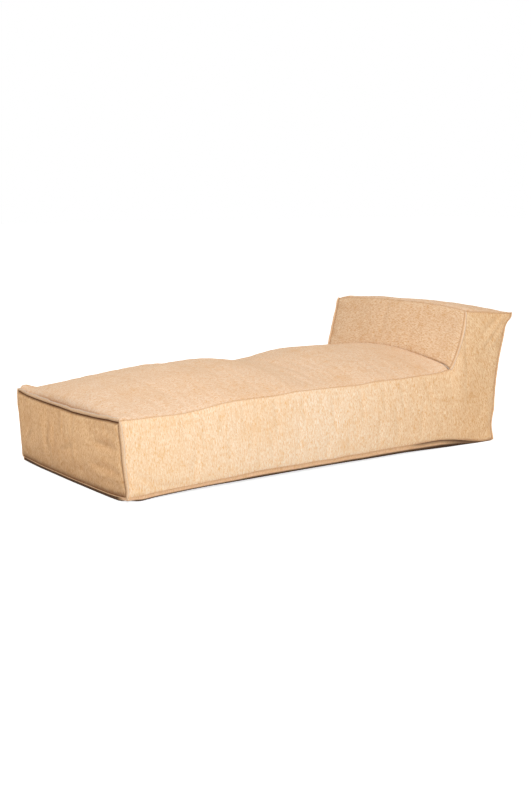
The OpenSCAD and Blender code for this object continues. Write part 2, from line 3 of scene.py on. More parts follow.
import bmesh
import bpy
import numpy as np
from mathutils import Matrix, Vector


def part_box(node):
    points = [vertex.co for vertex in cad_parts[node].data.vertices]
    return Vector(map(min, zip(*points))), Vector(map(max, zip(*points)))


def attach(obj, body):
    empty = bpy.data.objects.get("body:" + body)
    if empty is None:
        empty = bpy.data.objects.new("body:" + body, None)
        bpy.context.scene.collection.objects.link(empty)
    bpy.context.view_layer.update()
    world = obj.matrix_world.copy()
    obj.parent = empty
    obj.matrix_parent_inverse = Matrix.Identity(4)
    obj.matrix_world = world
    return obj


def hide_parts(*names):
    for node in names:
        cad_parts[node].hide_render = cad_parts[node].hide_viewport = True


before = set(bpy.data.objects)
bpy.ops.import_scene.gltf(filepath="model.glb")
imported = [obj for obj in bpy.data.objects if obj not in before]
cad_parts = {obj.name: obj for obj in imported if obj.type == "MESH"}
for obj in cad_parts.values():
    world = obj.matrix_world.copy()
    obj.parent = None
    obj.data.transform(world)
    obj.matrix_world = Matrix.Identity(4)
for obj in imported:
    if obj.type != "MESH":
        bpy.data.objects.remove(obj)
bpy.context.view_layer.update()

MM = 0.001
NEAR = -1
FAR = 1

# Sizes of the block. Those that the part's source names are the same there, but for CURL_W: 92 mm.
BASE_L = 1754 * MM
BASE_W = 816 * MM
SEAT_W = 784 * MM
FOOT_H = 287 * MM
NOOK_H = 321 * MM
HEM_H = 12 * MM
FOOT_LEAN = 11 * MM
HEAD_D = 245 * MM
HEAD_TOP_D = 262 * MM
HEAD_W = 804 * MM
HEAD_FRONT_H = 555 * MM
HEAD_BACK_H = 528 * MM
HEAD_LEAN = 66 * MM
SEAT_CROWN = 79 * MM
CROWN_FALL = 73 * MM
CALF_VALLEY = (505 * MM, 11 * MM, 72 * MM)
HIP_VALLEY = (840 * MM, 44 * MM, 145 * MM)
FOOT_SAG = 15 * MM
NOOK_RISE = 48 * MM
HEAD_RISE = 17 * MM
HEM_RISE = 36 * MM
CURL_W = 95 * MM
# The underside's rounding at its edge and in plan at its corners, its height over the floor, and
# the gap under its edge at the foot end, at the back end and at the near foot corner
EDGE_ROUND = 16 * MM
CORNER_ROUND = 40 * MM
FLOOR_CLEAR = .4 * MM
END_GAP = (0, 3 * MM)
CORNER_GAP = 11 * MM
# How far the foot's lower seam stands out between its corners, below zero outwards, and the
# height over which the panel loses that
FOOT_HEM_X = -6 * MM
HEM_ROUND = 14 * MM
EAR = 8 * MM
END_BOW = 4 * MM
DRAW_IN = 16 * MM
FOOT_SWELL = 12 * MM
SIDE_SWELL = 18 * MM
HEAD_SWELL = 10 * MM
TOP_SWELL = 16 * MM
BACK_SWELL = 26 * MM
COVER_T = 3 * MM
WELT_H = 9 * MM
FOOT_WELT_H = 12 * MM
LOW_WELT_H = 5.5 * MM
RIDGE_H = 1.6 * MM
ZIP_Z = 76 * MM
ZIP_GAP = 18 * MM

BACK_X = FOOT_LEAN + BASE_L
NOOK_X = BACK_X - HEAD_D
FRONT_X = NOOK_X + HEAD_LEAN
REAR_X = FRONT_X + HEAD_TOP_D
MID_X = REAR_X / 2


# Small numeric helpers

def mix(a, b, t):
    return a + (b - a) * t


def soft(t):
    return 1 - np.abs(2 * t - 1) ** 2


def firm(t):
    return 1 - np.abs(2 * t - 1) ** 8


def smoothstep(a, b, x):
    s = np.clip((x - a) / (b - a), 0, 1)
    return s * s * (3 - 2 * s)


def vec(x, y, z):
    return np.array([x, y, z], float)


# Seams

DRIFT_T = np.linspace(0, 1, 301)


def drift(axis, *knots):
    """Slow wander of a seam between its corners: millimetres at places along it, smoothed. Both
    ends stay where they are."""
    knots = [(0, 0), *knots]
    if knots[-1][0] < 1:
        knots.append((1, 0))
    table = np.interp(DRIFT_T, [k[0] for k in knots], [k[1] for k in knots])
    kernel = np.hanning(15)
    kernel = kernel / kernel.sum()
    table = np.convolve(np.pad(table, 7, mode="edge"), kernel, mode="valid")
    table = table - mix(table[0], table[-1], DRIFT_T)
    axis = np.array(axis, float)
    return lambda t: np.interp(t, DRIFT_T, table)[..., None] * axis * MM


def seam(p, q, bow_soft=(0, 0, 0), bow_firm=(0, 0, 0), wander=None):
    """A seam from corner p to corner q, with a soft bow, a firm one and its own wander."""
    bow_soft = np.array(bow_soft, float)
    bow_firm = np.array(bow_firm, float)

    def at(t):
        t = np.asarray(t, float)
        s = t[..., None]
        line = mix(p, q, s) + bow_soft * soft(s) + bow_firm * firm(s)
        return line + wander(t) if wander else line
    return at


def corners(side, shifts):
    """The six corners of one side, each a little off its place as in the photograph."""
    places = {
        "foot_base": (FOOT_LEAN, BASE_W, HEM_H),
        "foot_top": (0, SEAT_W, FOOT_H),
        "nook": (NOOK_X, SEAT_W, NOOK_H),
        "head_front": (FRONT_X, HEAD_W, HEAD_FRONT_H),
        "head_back": (REAR_X, HEAD_W, HEAD_BACK_H),
        "back_base": (BACK_X, BASE_W, HEM_H),
    }
    made = {}
    for name, (x, width, z) in places.items():
        off = np.array(shifts.get(name, (0, 0, 0)), float) * MM
        made[name] = vec(x - MID_X, side * width / 2, z) + off
    return made


NEAR_SHIFTS = {"foot_base": (0, 0, 8), "foot_top": (-2, 0, -2), "nook": (0, 0, 1),
               "head_front": (3, 0, 2), "head_back": (10, -3, 7), "back_base": (4, 0, -7)}
FAR_SHIFTS = {"foot_base": (-4, 0, 3), "foot_top": (-13, 1, 1), "nook": (0, 0, 0),
              "head_front": (0, 0, -3), "head_back": (4, 2, 3), "back_base": (1, 0, -4)}
NEAR_C = corners(NEAR, NEAR_SHIFTS)
FAR_C = corners(FAR, FAR_SHIFTS)

X = (1, 0, 0)
Z = (0, 0, 1)
NEAR_DRIFT = {
    "foot": drift(X, (.09, 3), (.3, -2.5), (.51, -4.5), (.66, -3), (.83, -3)),
    "seat": drift(Z, (.08, -1), (.16, -6), (.21, -2), (.28, 8), (.34, 8), (.42, 3), (.48, 7),
                  (.54, 4), (.63, -1), (.68, -5), (.74, 0), (.82, -4), (.89, -3), (.96, -5)),
    "front": drift(X, (.1, 2), (.5, 1)),
    "top": drift(Z, (.3, 1), (.7, -1)),
    "back": drift(X, (.06, -2), (.12, -5.5), (.24, 4), (.41, -2), (.52, -3.5), (.67, -3),
                  (.8, 0), (.9, -4), (.935, 3), (.965, 15), (1, 6)),
    "base": drift(Z, (.025, -7), (.09, -11), (.16, -14), (.2, -14), (.25, -14.5), (.31, -10),
                  (.36, -11.5), (.42, -13.5), (.46, -12), (.51, -13.5), (.55, -9.5), (.59, -10.5),
                  (.63, -6.5), (.68, -4), (.72, -2), (.77, 2), (.82, 7), (.865, 4), (.914, -5),
                  (.965, -10.7)),
}
FAR_DRIFT = {
    "foot": drift(X, (.2, -1), (.48, -3.5), (.78, -4)),
    "seat": drift(Z, (.1, -4), (.2, 2), (.35, 6), (.5, 3), (.62, -3), (.75, 2), (.9, -4)),
    "front": drift(X, (.4, -1), (.8, 1)),
    "top": drift(Z, (.4, -1), (.8, 1)),
    "back": drift(X, (.1, -4), (.3, 2), (.5, -4), (.75, 1), (.9, -2)),
    "base": drift(Z, (.1, -4), (.25, 3), (.4, -7), (.55, 6), (.7, 9), (.85, 2)),
}


def side_seams(side, c, wander):
    """The six seams round one side panel."""
    return {
        "foot": seam(c["foot_base"], c["foot_top"], (EAR / 2, 0, 0), wander=wander["foot"]),
        "seat": seam(c["foot_top"], c["nook"], (0, 0, EAR), (0, 0, -EAR), wander["seat"]),
        "front": seam(c["nook"], c["head_front"], (EAR, side * EAR, 0), wander=wander["front"]),
        "top": seam(c["head_front"], c["head_back"], bow_firm=(0, 0, -EAR / 4), wander=wander["top"]),
        "back": seam(c["back_base"], c["head_back"], (-EAR, -side * DRAW_IN / 2, 0),
                     (-EAR, -side * DRAW_IN / 2, 0), wander["back"]),
        "base": seam(c["foot_base"], c["back_base"], (0, 0, HEM_RISE * .7), (0, 0, HEM_RISE * .3),
                     wander["base"]),
    }


NEAR_S = side_seams(NEAR, NEAR_C, NEAR_DRIFT)
FAR_S = side_seams(FAR, FAR_C, FAR_DRIFT)
FOOT_TOP = seam(NEAR_C["foot_top"], FAR_C["foot_top"], (0, 0, -FOOT_SAG / 2),
                (END_BOW / 2, 0, -FOOT_SAG / 2),
                drift(Z, (.1, 5), (.19, 2), (.3, 0), (.42, -2.5), (.55, 0), (.88, -1.5)))
FOOT_BASE = seam(NEAR_C["foot_base"], FAR_C["foot_base"], (-END_BOW, 0, END_BOW / 2),
                 (FOOT_HEM_X, 0, END_BOW / 2),
                 drift(Z, (.06, -6), (.15, -9.5), (.5, -9.5), (.8, -7)))
NOOK = seam(NEAR_C["nook"], FAR_C["nook"], (0, 0, NOOK_RISE),
            wander=drift(Z, (.04, 7), (.17, 2), (.26, 0), (.6, 0)))
HEAD_FRONT = seam(NEAR_C["head_front"], FAR_C["head_front"], (-END_BOW, 0, HEAD_RISE),
                  wander=drift(Z, (.05, 4), (.16, 5), (.27, 4), (.39, 2), (.57, 0), (.76, 1)))
HEAD_BACK = seam(NEAR_C["head_back"], FAR_C["head_back"], (0, 0, HEAD_RISE / 2), (-EAR, 0, 0),
                 drift(X, (.15, -3), (.4, 2), (.7, -2)))
BACK_BASE = seam(NEAR_C["back_base"], FAR_C["back_base"], (END_BOW, 0, END_BOW), (0, 0, END_BOW),
                 drift(Z, (.25, 3), (.5, 0), (.75, 3)))

# The plane of the zip, and how far the cloth laps over its tapes
ZIP_T = (ZIP_Z - HEM_H) / (HEAD_BACK_H - HEM_H)
ZIP_X = BACK_X - MID_X + (REAR_X - BACK_X) * ZIP_T - EAR * float(soft(ZIP_T) + firm(ZIP_T))
TAPE_LAP = .9 * MM


def zip_t(side, edge):
    """Where the zip's lower (-1) or upper (1) edge meets an upright seam of the back."""
    low, high = side["back"](0.)[2], side["back"](1.)[2]
    return float((ZIP_Z + edge * (ZIP_GAP / 2 - TAPE_LAP) - low) / (high - low))


# Panels: each is a surface over u and v, with u x v pointing outwards

def coons(u, v, c0, c1, d0, d1):
    """Patch between four seams: c0 and c1 run along u, d0 and d1 along v."""
    a, b = u[:, None, None], v[None, :, None]
    c_lines = mix(c0(u)[:, None], c1(u)[:, None], b)
    d_lines = mix(d0(v)[None], d1(v)[None], a)
    ends = mix(mix(c0(0.), c0(1.), a), mix(c1(0.), c1(1.), a), b)
    return c_lines + d_lines - ends


def swell(u, v, way, height):
    return soft(u)[:, None, None] * soft(v)[None, :, None] * np.array(way, float) * height


def valley(x):
    deep = 0
    for place, depth, half in (CALF_VALLEY, HIP_VALLEY):
        deep = deep + depth * np.exp(-((x - place) / half) ** 2)
    return deep


def seat_surface(u, v):
    grid = coons(u, v, NEAR_S["seat"], FAR_S["seat"], FOOT_TOP, NOOK)
    crown = (SEAT_CROWN + CROWN_FALL * (.5 - u)) * soft(u) ** .3 - valley(u * NOOK_X)
    grid[..., 2] += soft(v)[None] * crown[:, None]
    return grid


def foot_surface(u, v):
    grid = coons(v, u, NEAR_S["foot"], FAR_S["foot"], FOOT_BASE, FOOT_TOP)
    grid = grid + swell(v, u, (-1, 0, 0), FOOT_SWELL)
    near_hem = np.exp(-v * FOOT_H / HEM_ROUND) - (1 - v)
    grid[..., 0] += FOOT_HEM_X * near_hem[:, None] * firm(u)[None]
    return grid.transpose(1, 0, 2)[::-1]


def head_front_surface(u, v):
    grid = coons(v, u, NEAR_S["front"], FAR_S["front"], NOOK, HEAD_FRONT)
    grid = grid + swell(v, u, (-1, 0, 0), HEAD_SWELL)
    return grid.transpose(1, 0, 2)[::-1]


def head_top_surface(u, v):
    grid = coons(u, v, NEAR_S["top"], FAR_S["top"], HEAD_FRONT, HEAD_BACK)
    return grid + swell(u, v, (0, 0, 1), TOP_SWELL)


def onto_zip(side, t):
    return vec(ZIP_X - side["back"](t)[0], 0, 0)


def zip_edge(edge):
    near_t, far_t = zip_t(NEAR_S, edge), zip_t(FAR_S, edge)
    a = NEAR_S["back"](near_t) + onto_zip(NEAR_S, near_t)
    b = FAR_S["back"](far_t) + onto_zip(FAR_S, far_t)
    return lambda u: mix(a, b, np.asarray(u, float)[..., None])


def back_upright(side, edge):
    """The back's upright seam over (1) or under (-1) the zip, led into the zip's plane there."""
    split = zip_t(side, edge)
    low, high = (split, 1) if edge > 0 else (0, split)

    def at(t):
        t = np.asarray(t, float)
        near_zip = 1 - t if edge > 0 else t
        return side["back"](mix(low, high, t)) + near_zip[..., None] * onto_zip(side, split)
    return at


def back_surface(u, v):
    grid = coons(u, v, zip_edge(1), HEAD_BACK, back_upright(NEAR_S, 1), back_upright(FAR_S, 1))
    return grid + swell(u, v, (1, 0, 0), BACK_SWELL)


def back_hem_surface(u, v):
    return coons(u, v, BACK_BASE, zip_edge(-1), back_upright(NEAR_S, -1), back_upright(FAR_S, -1))


# Height of the dark gap under the edge, along both sides: place, millimetres
SIDE_GAP = ((0, 0), (.04, 0), (.07, 5), (.15, 10), (.2, 11), (.3, 10), (.4, 11), (.5, 11), (.6, 9),
            (.72, 8), (.78, 5), (.83, 2), (.87, 0), (1, 0))


def base_inset(u, v):
    """For each point of the underside: how far it is in from the ends, from the sides and from a
    boundary with round corners, and where the square boundary lies on that last scale."""
    end = np.broadcast_to(BASE_L * np.minimum(u, 1 - u)[:, None], (len(u), len(v)))
    side = np.broadcast_to(BASE_W * np.minimum(v, 1 - v)[None], (len(u), len(v)))
    a = np.maximum(0, CORNER_ROUND - end)
    b = np.maximum(0, CORNER_ROUND - side)
    in_corner = (a > 0) & (b > 0)
    radius = np.hypot(a, b)
    inset = np.where(in_corner, CORNER_ROUND - radius, np.minimum(end, side))
    rim = np.where(in_corner, CORNER_ROUND * (1 - radius / np.maximum(np.maximum(a, b), 1e-9)), 0)
    return end, side, inset, rim


def base_surface(u, v):
    """The underside drops from its seams in a round edge, then runs in under it to the floor."""
    grid = coons(u, v, NEAR_S["base"], FAR_S["base"], FOOT_BASE, BACK_BASE)
    end, side, inset, rim = base_inset(u, v)
    seam_z = grid[..., 2]
    side_gap = np.interp(u, *np.array(SIDE_GAP).T)[:, None] * MM
    end_gap = np.where(u < .5, *END_GAP)[:, None]
    gap = mix(side_gap, end_gap, smoothstep(-30 * MM, 30 * MM, side - end))
    corner_gap = CORNER_GAP * (u < .5)[:, None] * (v < .5)[None]
    gap = mix(corner_gap, gap, smoothstep(12 * MM, 60 * MM, np.hypot(end, side)))
    gap = np.minimum(gap, .7 * seam_z)
    s = np.clip((inset - rim) / (EDGE_ROUND - rim), 0, 1)
    wall = 1 - np.sqrt(1 - (1 - s) ** 2)
    under = 1 - smoothstep(.3 * CURL_W, CURL_W, inset)
    grid[..., 2] = FLOOR_CLEAR + (seam_z - gap) * wall + gap * under
    return grid[:, ::-1]


# Columns of a side fan out from the underside to the seat, the headrest's front and its top. The
# front's take up FAN of the underside's length, where the part's source gives them 39.6 mm.
FAN = 100 * MM
NOOK_U = (NOOK_X - FOOT_LEAN) / BASE_L
FRONT_U = NOOK_U + FAN / BASE_L


def side_surface(seams, sign):
    def surface(u, v):
        over = np.empty((len(u), 3))
        for i, s in enumerate(u):
            if s <= NOOK_U:
                over[i] = seams["seat"](s / NOOK_U)
            elif s <= FRONT_U:
                over[i] = seams["front"]((s - NOOK_U) / (FRONT_U - NOOK_U))
            else:
                over[i] = seams["top"]((s - FRONT_U) / (1 - FRONT_U))
        low = seams["base"](u)
        left = seams["foot"](v)
        right = seams["back"](v)
        a, b = u[:, None, None], v[None, :, None]
        grid = mix(low[:, None], over[:, None], b)
        grid = grid + (left - mix(left[0], left[-1], v[:, None]))[None] * (1 - a) ** 12
        grid = grid + (right - mix(right[0], right[-1], v[:, None]))[None] * a ** 12
        grid[..., 1] += sign * SIDE_SWELL * firm(u)[:, None] * soft(v)[None]
        return grid if sign < 0 else grid[::-1]
    return surface


# Grids: stations along u and v, an even count of cells in each stretch

def stretch(*parts):
    """Stations from (start, end, cells) stretches."""
    rows = [np.linspace(a, b, n, endpoint=False) for a, b, n in parts]
    return np.append(np.concatenate(rows), parts[-1][1])


def side_stations(scale):
    return stretch((0, NOOK_U, round(250 * scale)), (NOOK_U, FRONT_U, round(40 * scale)),
                   (FRONT_U, 1, round(44 * scale)))


def spline_weights(at, known):
    """Smooth resampling from stations known to stations at, as a matrix of cubic B-spline weights."""
    n = len(known)
    place = np.interp(at, known, np.arange(n))
    first = np.minimum(np.floor(place).astype(int), n - 2)
    f = place - first
    weights = np.zeros((len(at), n))
    parts = ((1 - f) ** 3 / 6, (3 * f ** 3 - 6 * f ** 2 + 4) / 6,
             (-3 * f ** 3 + 3 * f ** 2 + 3 * f + 1) / 6, f ** 3 / 6)
    for k, part in enumerate(parts):
        np.add.at(weights, (np.arange(len(at)), np.clip(first - 1 + k, 0, n - 1)), part)
    return weights


def resample(field, u_at, u_known, v_at, v_known):
    a = spline_weights(u_at, u_known)
    b = spline_weights(v_at, v_known)
    return np.einsum("ai,ijk,bj->abk", a, field, b)


def normals_of(grid):
    du = np.gradient(grid, axis=0)
    dv = np.gradient(grid, axis=1)
    n = np.cross(du, dv)
    return n / np.maximum(np.linalg.norm(n, axis=-1, keepdims=True), 1e-12)


def lengths(grid):
    """Distances along the surface from each of its four edges: u low, u high, v low, v high."""
    along_u = np.linalg.norm(np.diff(grid, axis=0), axis=-1)
    along_v = np.linalg.norm(np.diff(grid, axis=1), axis=-1)
    u_low = np.pad(np.cumsum(along_u, axis=0), ((1, 0), (0, 0)))
    v_low = np.pad(np.cumsum(along_v, axis=1), ((0, 0), (1, 0)))
    return u_low, u_low[-1:] - u_low, v_low, v_low[:, -1:] - v_low


def blur(field, reach_u, reach_v):
    """Local mean of a grid field, over a window given in cells each way."""
    for axis, reach in ((0, reach_u), (1, reach_v)):
        reach = int(min(reach, field.shape[axis] - 1))
        if reach < 1:
            continue
        kernel = np.hanning(2 * reach + 3)[1:-1]
        kernel = kernel / kernel.sum()
        pad = [(0, 0)] * field.ndim
        pad[axis] = (reach, reach)
        wide = np.pad(field, pad, mode="reflect", reflect_type="odd")
        field = np.apply_along_axis(lambda row: np.convolve(row, kernel, mode="valid"), axis, wide)
    return field


# Cloth

SIM_CELL = 14 * MM
PRESSURE = 4.0
GROWTH = .012
FRAMES = 20
CLOTH = {
    "quality": 6, "mass": .25, "tension_stiffness": 12, "compression_stiffness": 12,
    "shear_stiffness": 4, "bending_stiffness": .25, "tension_damping": 8, "compression_damping": 8,
    "use_pressure": True, "uniform_pressure_force": PRESSURE, "shrink_min": -GROWTH,
    "vertex_group_mass": "seams",
}
# Puckers up to this wide are kept of a settled panel, and made no higher than the cap
FINE_REACH = 90 * MM
CAP = 6 * MM


def new_mesh(name, points, faces=(), edges=(), smooth=False):
    mesh = bpy.data.meshes.new(name)
    mesh.from_pydata(points, edges, faces)
    if smooth:
        mesh.polygons.foreach_set("use_smooth", np.ones(len(faces), bool))
    mesh.update()
    return mesh


def grid_cells(grid):
    """The numbers of a grid's points, and its faces."""
    ids = np.arange(grid.shape[0] * grid.shape[1]).reshape(grid.shape[:2])
    quads = np.stack([ids[:-1, :-1], ids[1:, :-1], ids[1:, 1:], ids[:-1, 1:]], axis=-1)
    return ids, quads.reshape(-1, 4)


def cloth_piece(name, grid):
    """A panel ready for Cloth, pinned along its seams."""
    ids, quads = grid_cells(grid)
    obj = bpy.data.objects.new(name, new_mesh(name, grid.reshape(-1, 3).tolist(), quads.tolist()))
    bpy.context.scene.collection.objects.link(obj)
    edge = np.unique(np.concatenate([ids[0], ids[-1], ids[:, 0], ids[:, -1]]))
    group = obj.vertex_groups.new(name="seams")
    group.add(edge.tolist(), 1.0, "REPLACE")
    cloth = obj.modifiers.new("fill_out", "CLOTH")
    for key, value in CLOTH.items():
        setattr(cloth.settings, key, value)
    cloth.settings.effector_weights.gravity = 0
    cloth.collision_settings.use_collision = False
    cloth.point_cache.frame_start = 1
    cloth.point_cache.frame_end = FRAMES
    return obj


def filled_out(surfaces):
    """Run Cloth on all panels at once, and return how far each point of each grid moved."""
    scene = bpy.context.scene
    rest = {}
    objects = {}
    for name, (surface, us, vs) in surfaces.items():
        rest[name] = surface(us, vs)
        objects[name] = cloth_piece("sim_" + name, rest[name])
    scene.frame_start = 1
    scene.frame_end = FRAMES
    for number in range(1, FRAMES + 1):
        scene.frame_set(number)
    moved = {}
    depsgraph = bpy.context.evaluated_depsgraph_get()
    for name, obj in objects.items():
        mesh = obj.evaluated_get(depsgraph).data
        flat = np.empty(len(mesh.vertices) * 3)
        mesh.vertices.foreach_get("co", flat)
        moved[name] = flat.reshape(rest[name].shape) - rest[name]
    scene.frame_set(1)
    for obj in objects.values():
        mesh = obj.data
        bpy.data.objects.remove(obj)
        bpy.data.meshes.remove(mesh)
    return moved


def fine_part(move):
    """Keep the puckers and dimples of a settled panel, not its overall bulge, and cap them."""
    cells = FINE_REACH / SIM_CELL
    fine = move - blur(move, cells, cells)
    size = np.linalg.norm(fine, axis=-1, keepdims=True)
    return fine * CAP * np.tanh(size / CAP) / np.maximum(size, 1e-9)


# Relief: what the seams, the creases and the uneven filling do to a panel

def edge_form(rise, width, reach, sink, sink_w, line=None):
    """How a panel meets a seam, in millimetres: it rises beside it and sinks into it. The seam's
    dark line, painted shade, is as wide as line says or, without it, goes by the sink."""
    return {"rise": rise * MM, "width": width * MM, "reach": reach * MM, "sink": sink * MM,
            "sink_w": sink_w * MM, "line": line}


THIN = edge_form(2.4, 9, 50, 1.0, 1.7)
LIPPED = edge_form(4.5, 11, 55, 6.0, 4.2)
BACKED = edge_form(3.0, 11, 50, .6, 2.0)
UNDER = edge_form(3.0, 9, 40, 10, 9, line=12)
SLIT = edge_form(3.4, 9, 50, 3.0, 2.5, line=3)
FOLDED = edge_form(4.5, 11, 55, 3.0, 3.0, line=2.6)
SLOT = edge_form(5.0, 11, 55, 7, 6, line=9)
CROOK = edge_form(4.0, 12, 50, 3.0, 4.0)
PUFFED = edge_form(7.0, 12, 70, 1.3, 2.0)
ZIPPED = edge_form(1.0, 8, 30, .6, 2.0)
HEM = edge_form(1.0, 9, 40, 1.0, 2.5)
ROUND = edge_form(5.0, 6, 20, .8, 1.6)
SHADED = edge_form(5.0, 6, 20, .8, 1.6, line=3.7)


def roll(d, kind, free):
    """Height of the fabric over its seam, at distance d from it; free is 0 on the other seams."""
    up = kind["rise"] * (1 - np.exp(-d / kind["width"])) * np.exp(-(d / kind["reach"]) ** 2)
    return free * up - kind["sink"] * np.exp(-(d / kind["sink_w"]) ** 2)


def uneven(points, seed, waves=14, longest=.26, shortest=.07):
    """Slow lumps of the filling under the cover, as a few crossing waves, about one unit high."""
    rng = np.random.default_rng(seed)
    total = np.zeros(points.shape[:-1])
    for _ in range(waves):
        way = rng.normal(size=3)
        way = way / np.linalg.norm(way)
        length = mix(shortest, longest, rng.random() ** 1.3)
        total += np.cos(points @ way * 2 * np.pi / length + rng.uniform(0, 6.3)) * (length / longest)
    return total / np.sqrt(waves / 4)


def crease(points, a, b, width, depth):
    """A soft fold from a to b: a groove with a swell beside it, fading at both ends. Its height,
    and the painted shade in its depth."""
    a, b = np.array(a, float), np.array(b, float)
    way = b - a
    size = np.linalg.norm(way)
    way = way / size
    along = (points - a) @ way
    off = np.linalg.norm(points - a - along[..., None] * way, axis=-1)
    ends = smoothstep(-.25, .3, along / size) * (1 - smoothstep(.7, 1.25, along / size))
    shape = -np.exp(-(off / width) ** 2) + .55 * np.exp(-((off - 2.1 * width) / width) ** 2)
    return depth * shape * ends, min(.34, depth / (24 * MM)) * np.exp(-(1.6 * off / width) ** 2) * ends


def lump(points, centre, radius, height):
    """A soft swell or, with a height below zero, a hollow."""
    off = np.linalg.norm(points - np.array(centre, float), axis=-1)
    return height * np.exp(-(off / radius) ** 2)


def panel_relief(grid, dist, spec, name):
    """Height over the panel's surface, and the painted shade at each point, darkest in seams and folds."""
    height = np.zeros(grid.shape[:2])
    painted_shade = np.zeros(grid.shape[:2])
    for number, (d, kinds) in enumerate(zip(dist, spec["edges"])):
        others = np.minimum.reduce([dist[k] for k in range(4) if k != number])
        free = smoothstep(0, 16 * MM, others)
        for share, kind in kinds if isinstance(kinds, list) else [(np.ones(1), kinds)]:
            share = share[:, None]
            height += share * roll(d, kind, free)
            # Painted shade along the seam: a dark line beside it
            if kind["line"]:
                dark = share * np.exp(-(d / (kind["line"] * MM)) ** 4)
            else:
                depth = min(1, kind["sink"] / (4 * MM))
                dark = share * np.exp(-(d / (1.3 * kind["sink_w"])) ** 2) * depth
            painted_shade = np.maximum(painted_shade, dark)
    near_seam = np.minimum.reduce(dist)
    height += spec["lump"] * uneven(grid, spec["seed"]) * smoothstep(5 * MM, 60 * MM, near_seam)
    inland = smoothstep(1 * MM, 14 * MM, near_seam)
    for one in CREASES.get(name, ()):
        fold, dark = crease(grid, *one)
        height += fold * inland
        painted_shade = np.maximum(painted_shade, dark * inland)
    for one in LUMPS.get(name, ()):
        height += lump(grid, *one) * smoothstep(0, 14 * MM, near_seam)
    return height, painted_shade


# Sheets with a thickness

def add_values(mesh, name, values):
    """Give each point of a mesh a number that the materials can read."""
    layer = mesh.attributes.new(name, "FLOAT", "POINT")
    layer.data.foreach_set("value", values.reshape(-1))


def cover_mesh(name, grid, thick, painted_shade):
    """A closed sheet: the grid outside, a second skin inside, and a rim that joins them."""
    inner = grid - normals_of(grid) * thick[..., None]
    points = np.concatenate([grid.reshape(-1, 3), inner.reshape(-1, 3)])
    ids, out = grid_cells(grid)
    count = ids.size
    back = out[:, [0, 3, 2, 1]] + count
    ring = np.concatenate([ids[:-1, 0], ids[-1, :-1], ids[:0:-1, -1], ids[0, :0:-1]])
    after = np.roll(ring, -1)
    rim = np.stack([after, ring, ring + count, after + count], axis=-1)
    quads = np.concatenate([out, back, rim])
    mesh = new_mesh(name, points.tolist(), quads.tolist(), smooth=True)
    dist = lengths(grid)
    flat = np.stack([dist[0], dist[2]], axis=-1).reshape(-1, 2)
    uv = mesh.uv_layers.new(name="cloth_lay")
    corner_ids = quads.reshape(-1) % count
    uv.data.foreach_set("uv", flat[corner_ids].reshape(-1))
    # Painted shade in seams, folds and under edges, for the materials to read
    add_values(mesh, "painted_shade", np.tile(painted_shade.reshape(-1), 2))
    mesh.update()
    return mesh


def place(name, mesh, material):
    """Put a finished mesh into the scene."""
    obj = bpy.data.objects.new(name, mesh)
    bpy.context.scene.collection.objects.link(obj)
    obj.data.materials.append(material)
    return obj


def declare(piece, node, body="lounger"):
    """Hide the CAD node that a piece replaces, and put the piece on its body."""
    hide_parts(node)
    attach(piece, body)
    return piece


# Materials

class Nodes:
    """Short way to write a node tree."""

    def add(self, kind, values, settings):
        """Add a node, with its settings, and link or set its inputs."""
        made = self.tree.nodes.new(kind)
        for key, value in settings.items():
            setattr(made, key, value)
        for key, value in dict(values).items():
            if isinstance(value, bpy.types.NodeSocket):
                self.tree.links.new(value, made.inputs[key])
            else:
                made.inputs[key].default_value = value
        return made


class Tree(Nodes):
    """The nodes of a material or of the world."""

    def __init__(self, name, world=False):
        self.owner = (bpy.data.worlds if world else bpy.data.materials).new(name)
        self.owner.use_nodes = True
        self.tree = self.owner.node_tree
        self.tree.nodes.clear()
        self.out = self.node("OutputWorld" if world else "OutputMaterial")

    def node(self, kind, values=(), **settings):
        return self.add("ShaderNode" + kind, values, settings)

    def math(self, how, *values):
        return self.node("Math", enumerate(values), operation=how).outputs[0]

    def scaled(self, value, by):
        return self.math("MULTIPLY", value, by)

    def vector(self, how, *values):
        return self.node("VectorMath", enumerate(values), operation=how).outputs[0]

    def blend(self, share, a, b):
        return self.node("Mix", {0: share, 6: a, 7: b}, data_type="RGBA").outputs[2]

    def attribute(self, name):
        return self.node("Attribute", attribute_name=name).outputs["Fac"]

    def space(self):
        return self.node("TexCoord").outputs["Object"]

    def split(self, vector):
        return self.node("SeparateXYZ", {0: vector}).outputs

    def noise(self, where, scale, detail=2.0, rough=.5, warp=0.0, flat=False):
        values = {"Vector": where, "Scale": scale, "Detail": detail, "Roughness": rough,
                  "Distortion": warp}
        return self.node("TexNoise", values, noise_dimensions="2D" if flat else "3D").outputs["Fac"]

    def band(self, value, low, high, to_low=0.0, to_high=1.0):
        values = {"Value": value, "From Min": low, "From Max": high, "To Min": to_low, "To Max": to_high}
        return self.node("MapRange", values).outputs["Result"]

    def mapped(self, where, scale=(1, 1, 1), turn=(0, 0, 0)):
        values = {"Vector": where, "Scale": scale, "Rotation": turn}
        return self.node("Mapping", values).outputs["Vector"]

    def end(self, shader):
        self.tree.links.new(shader, self.out.inputs["Surface"])
        return self.owner

    def shade(self, colour, rough, height, strength, distance, more=(), invert=False):
        """End the material: a bump of this strength and distance, and a Principled shader."""
        values = {"Strength": strength, "Distance": distance, "Height": height}
        bump = self.node("Bump", values, invert=invert)
        values = {"Base Color": colour, "Roughness": rough, "Normal": bump.outputs["Normal"]}
        values.update(more)
        return self.end(self.node("BsdfPrincipled", values).outputs["BSDF"])


def linear(r, g, b):
    """A colour written as it shows, 0 to 255, in the linear values that the shader takes."""
    out = []
    for c in (r / 255, g / 255, b / 255):
        out.append(c / 12.92 if c <= .04045 else ((c + .055) / 1.055) ** 2.4)
    return (*out, 1.0)


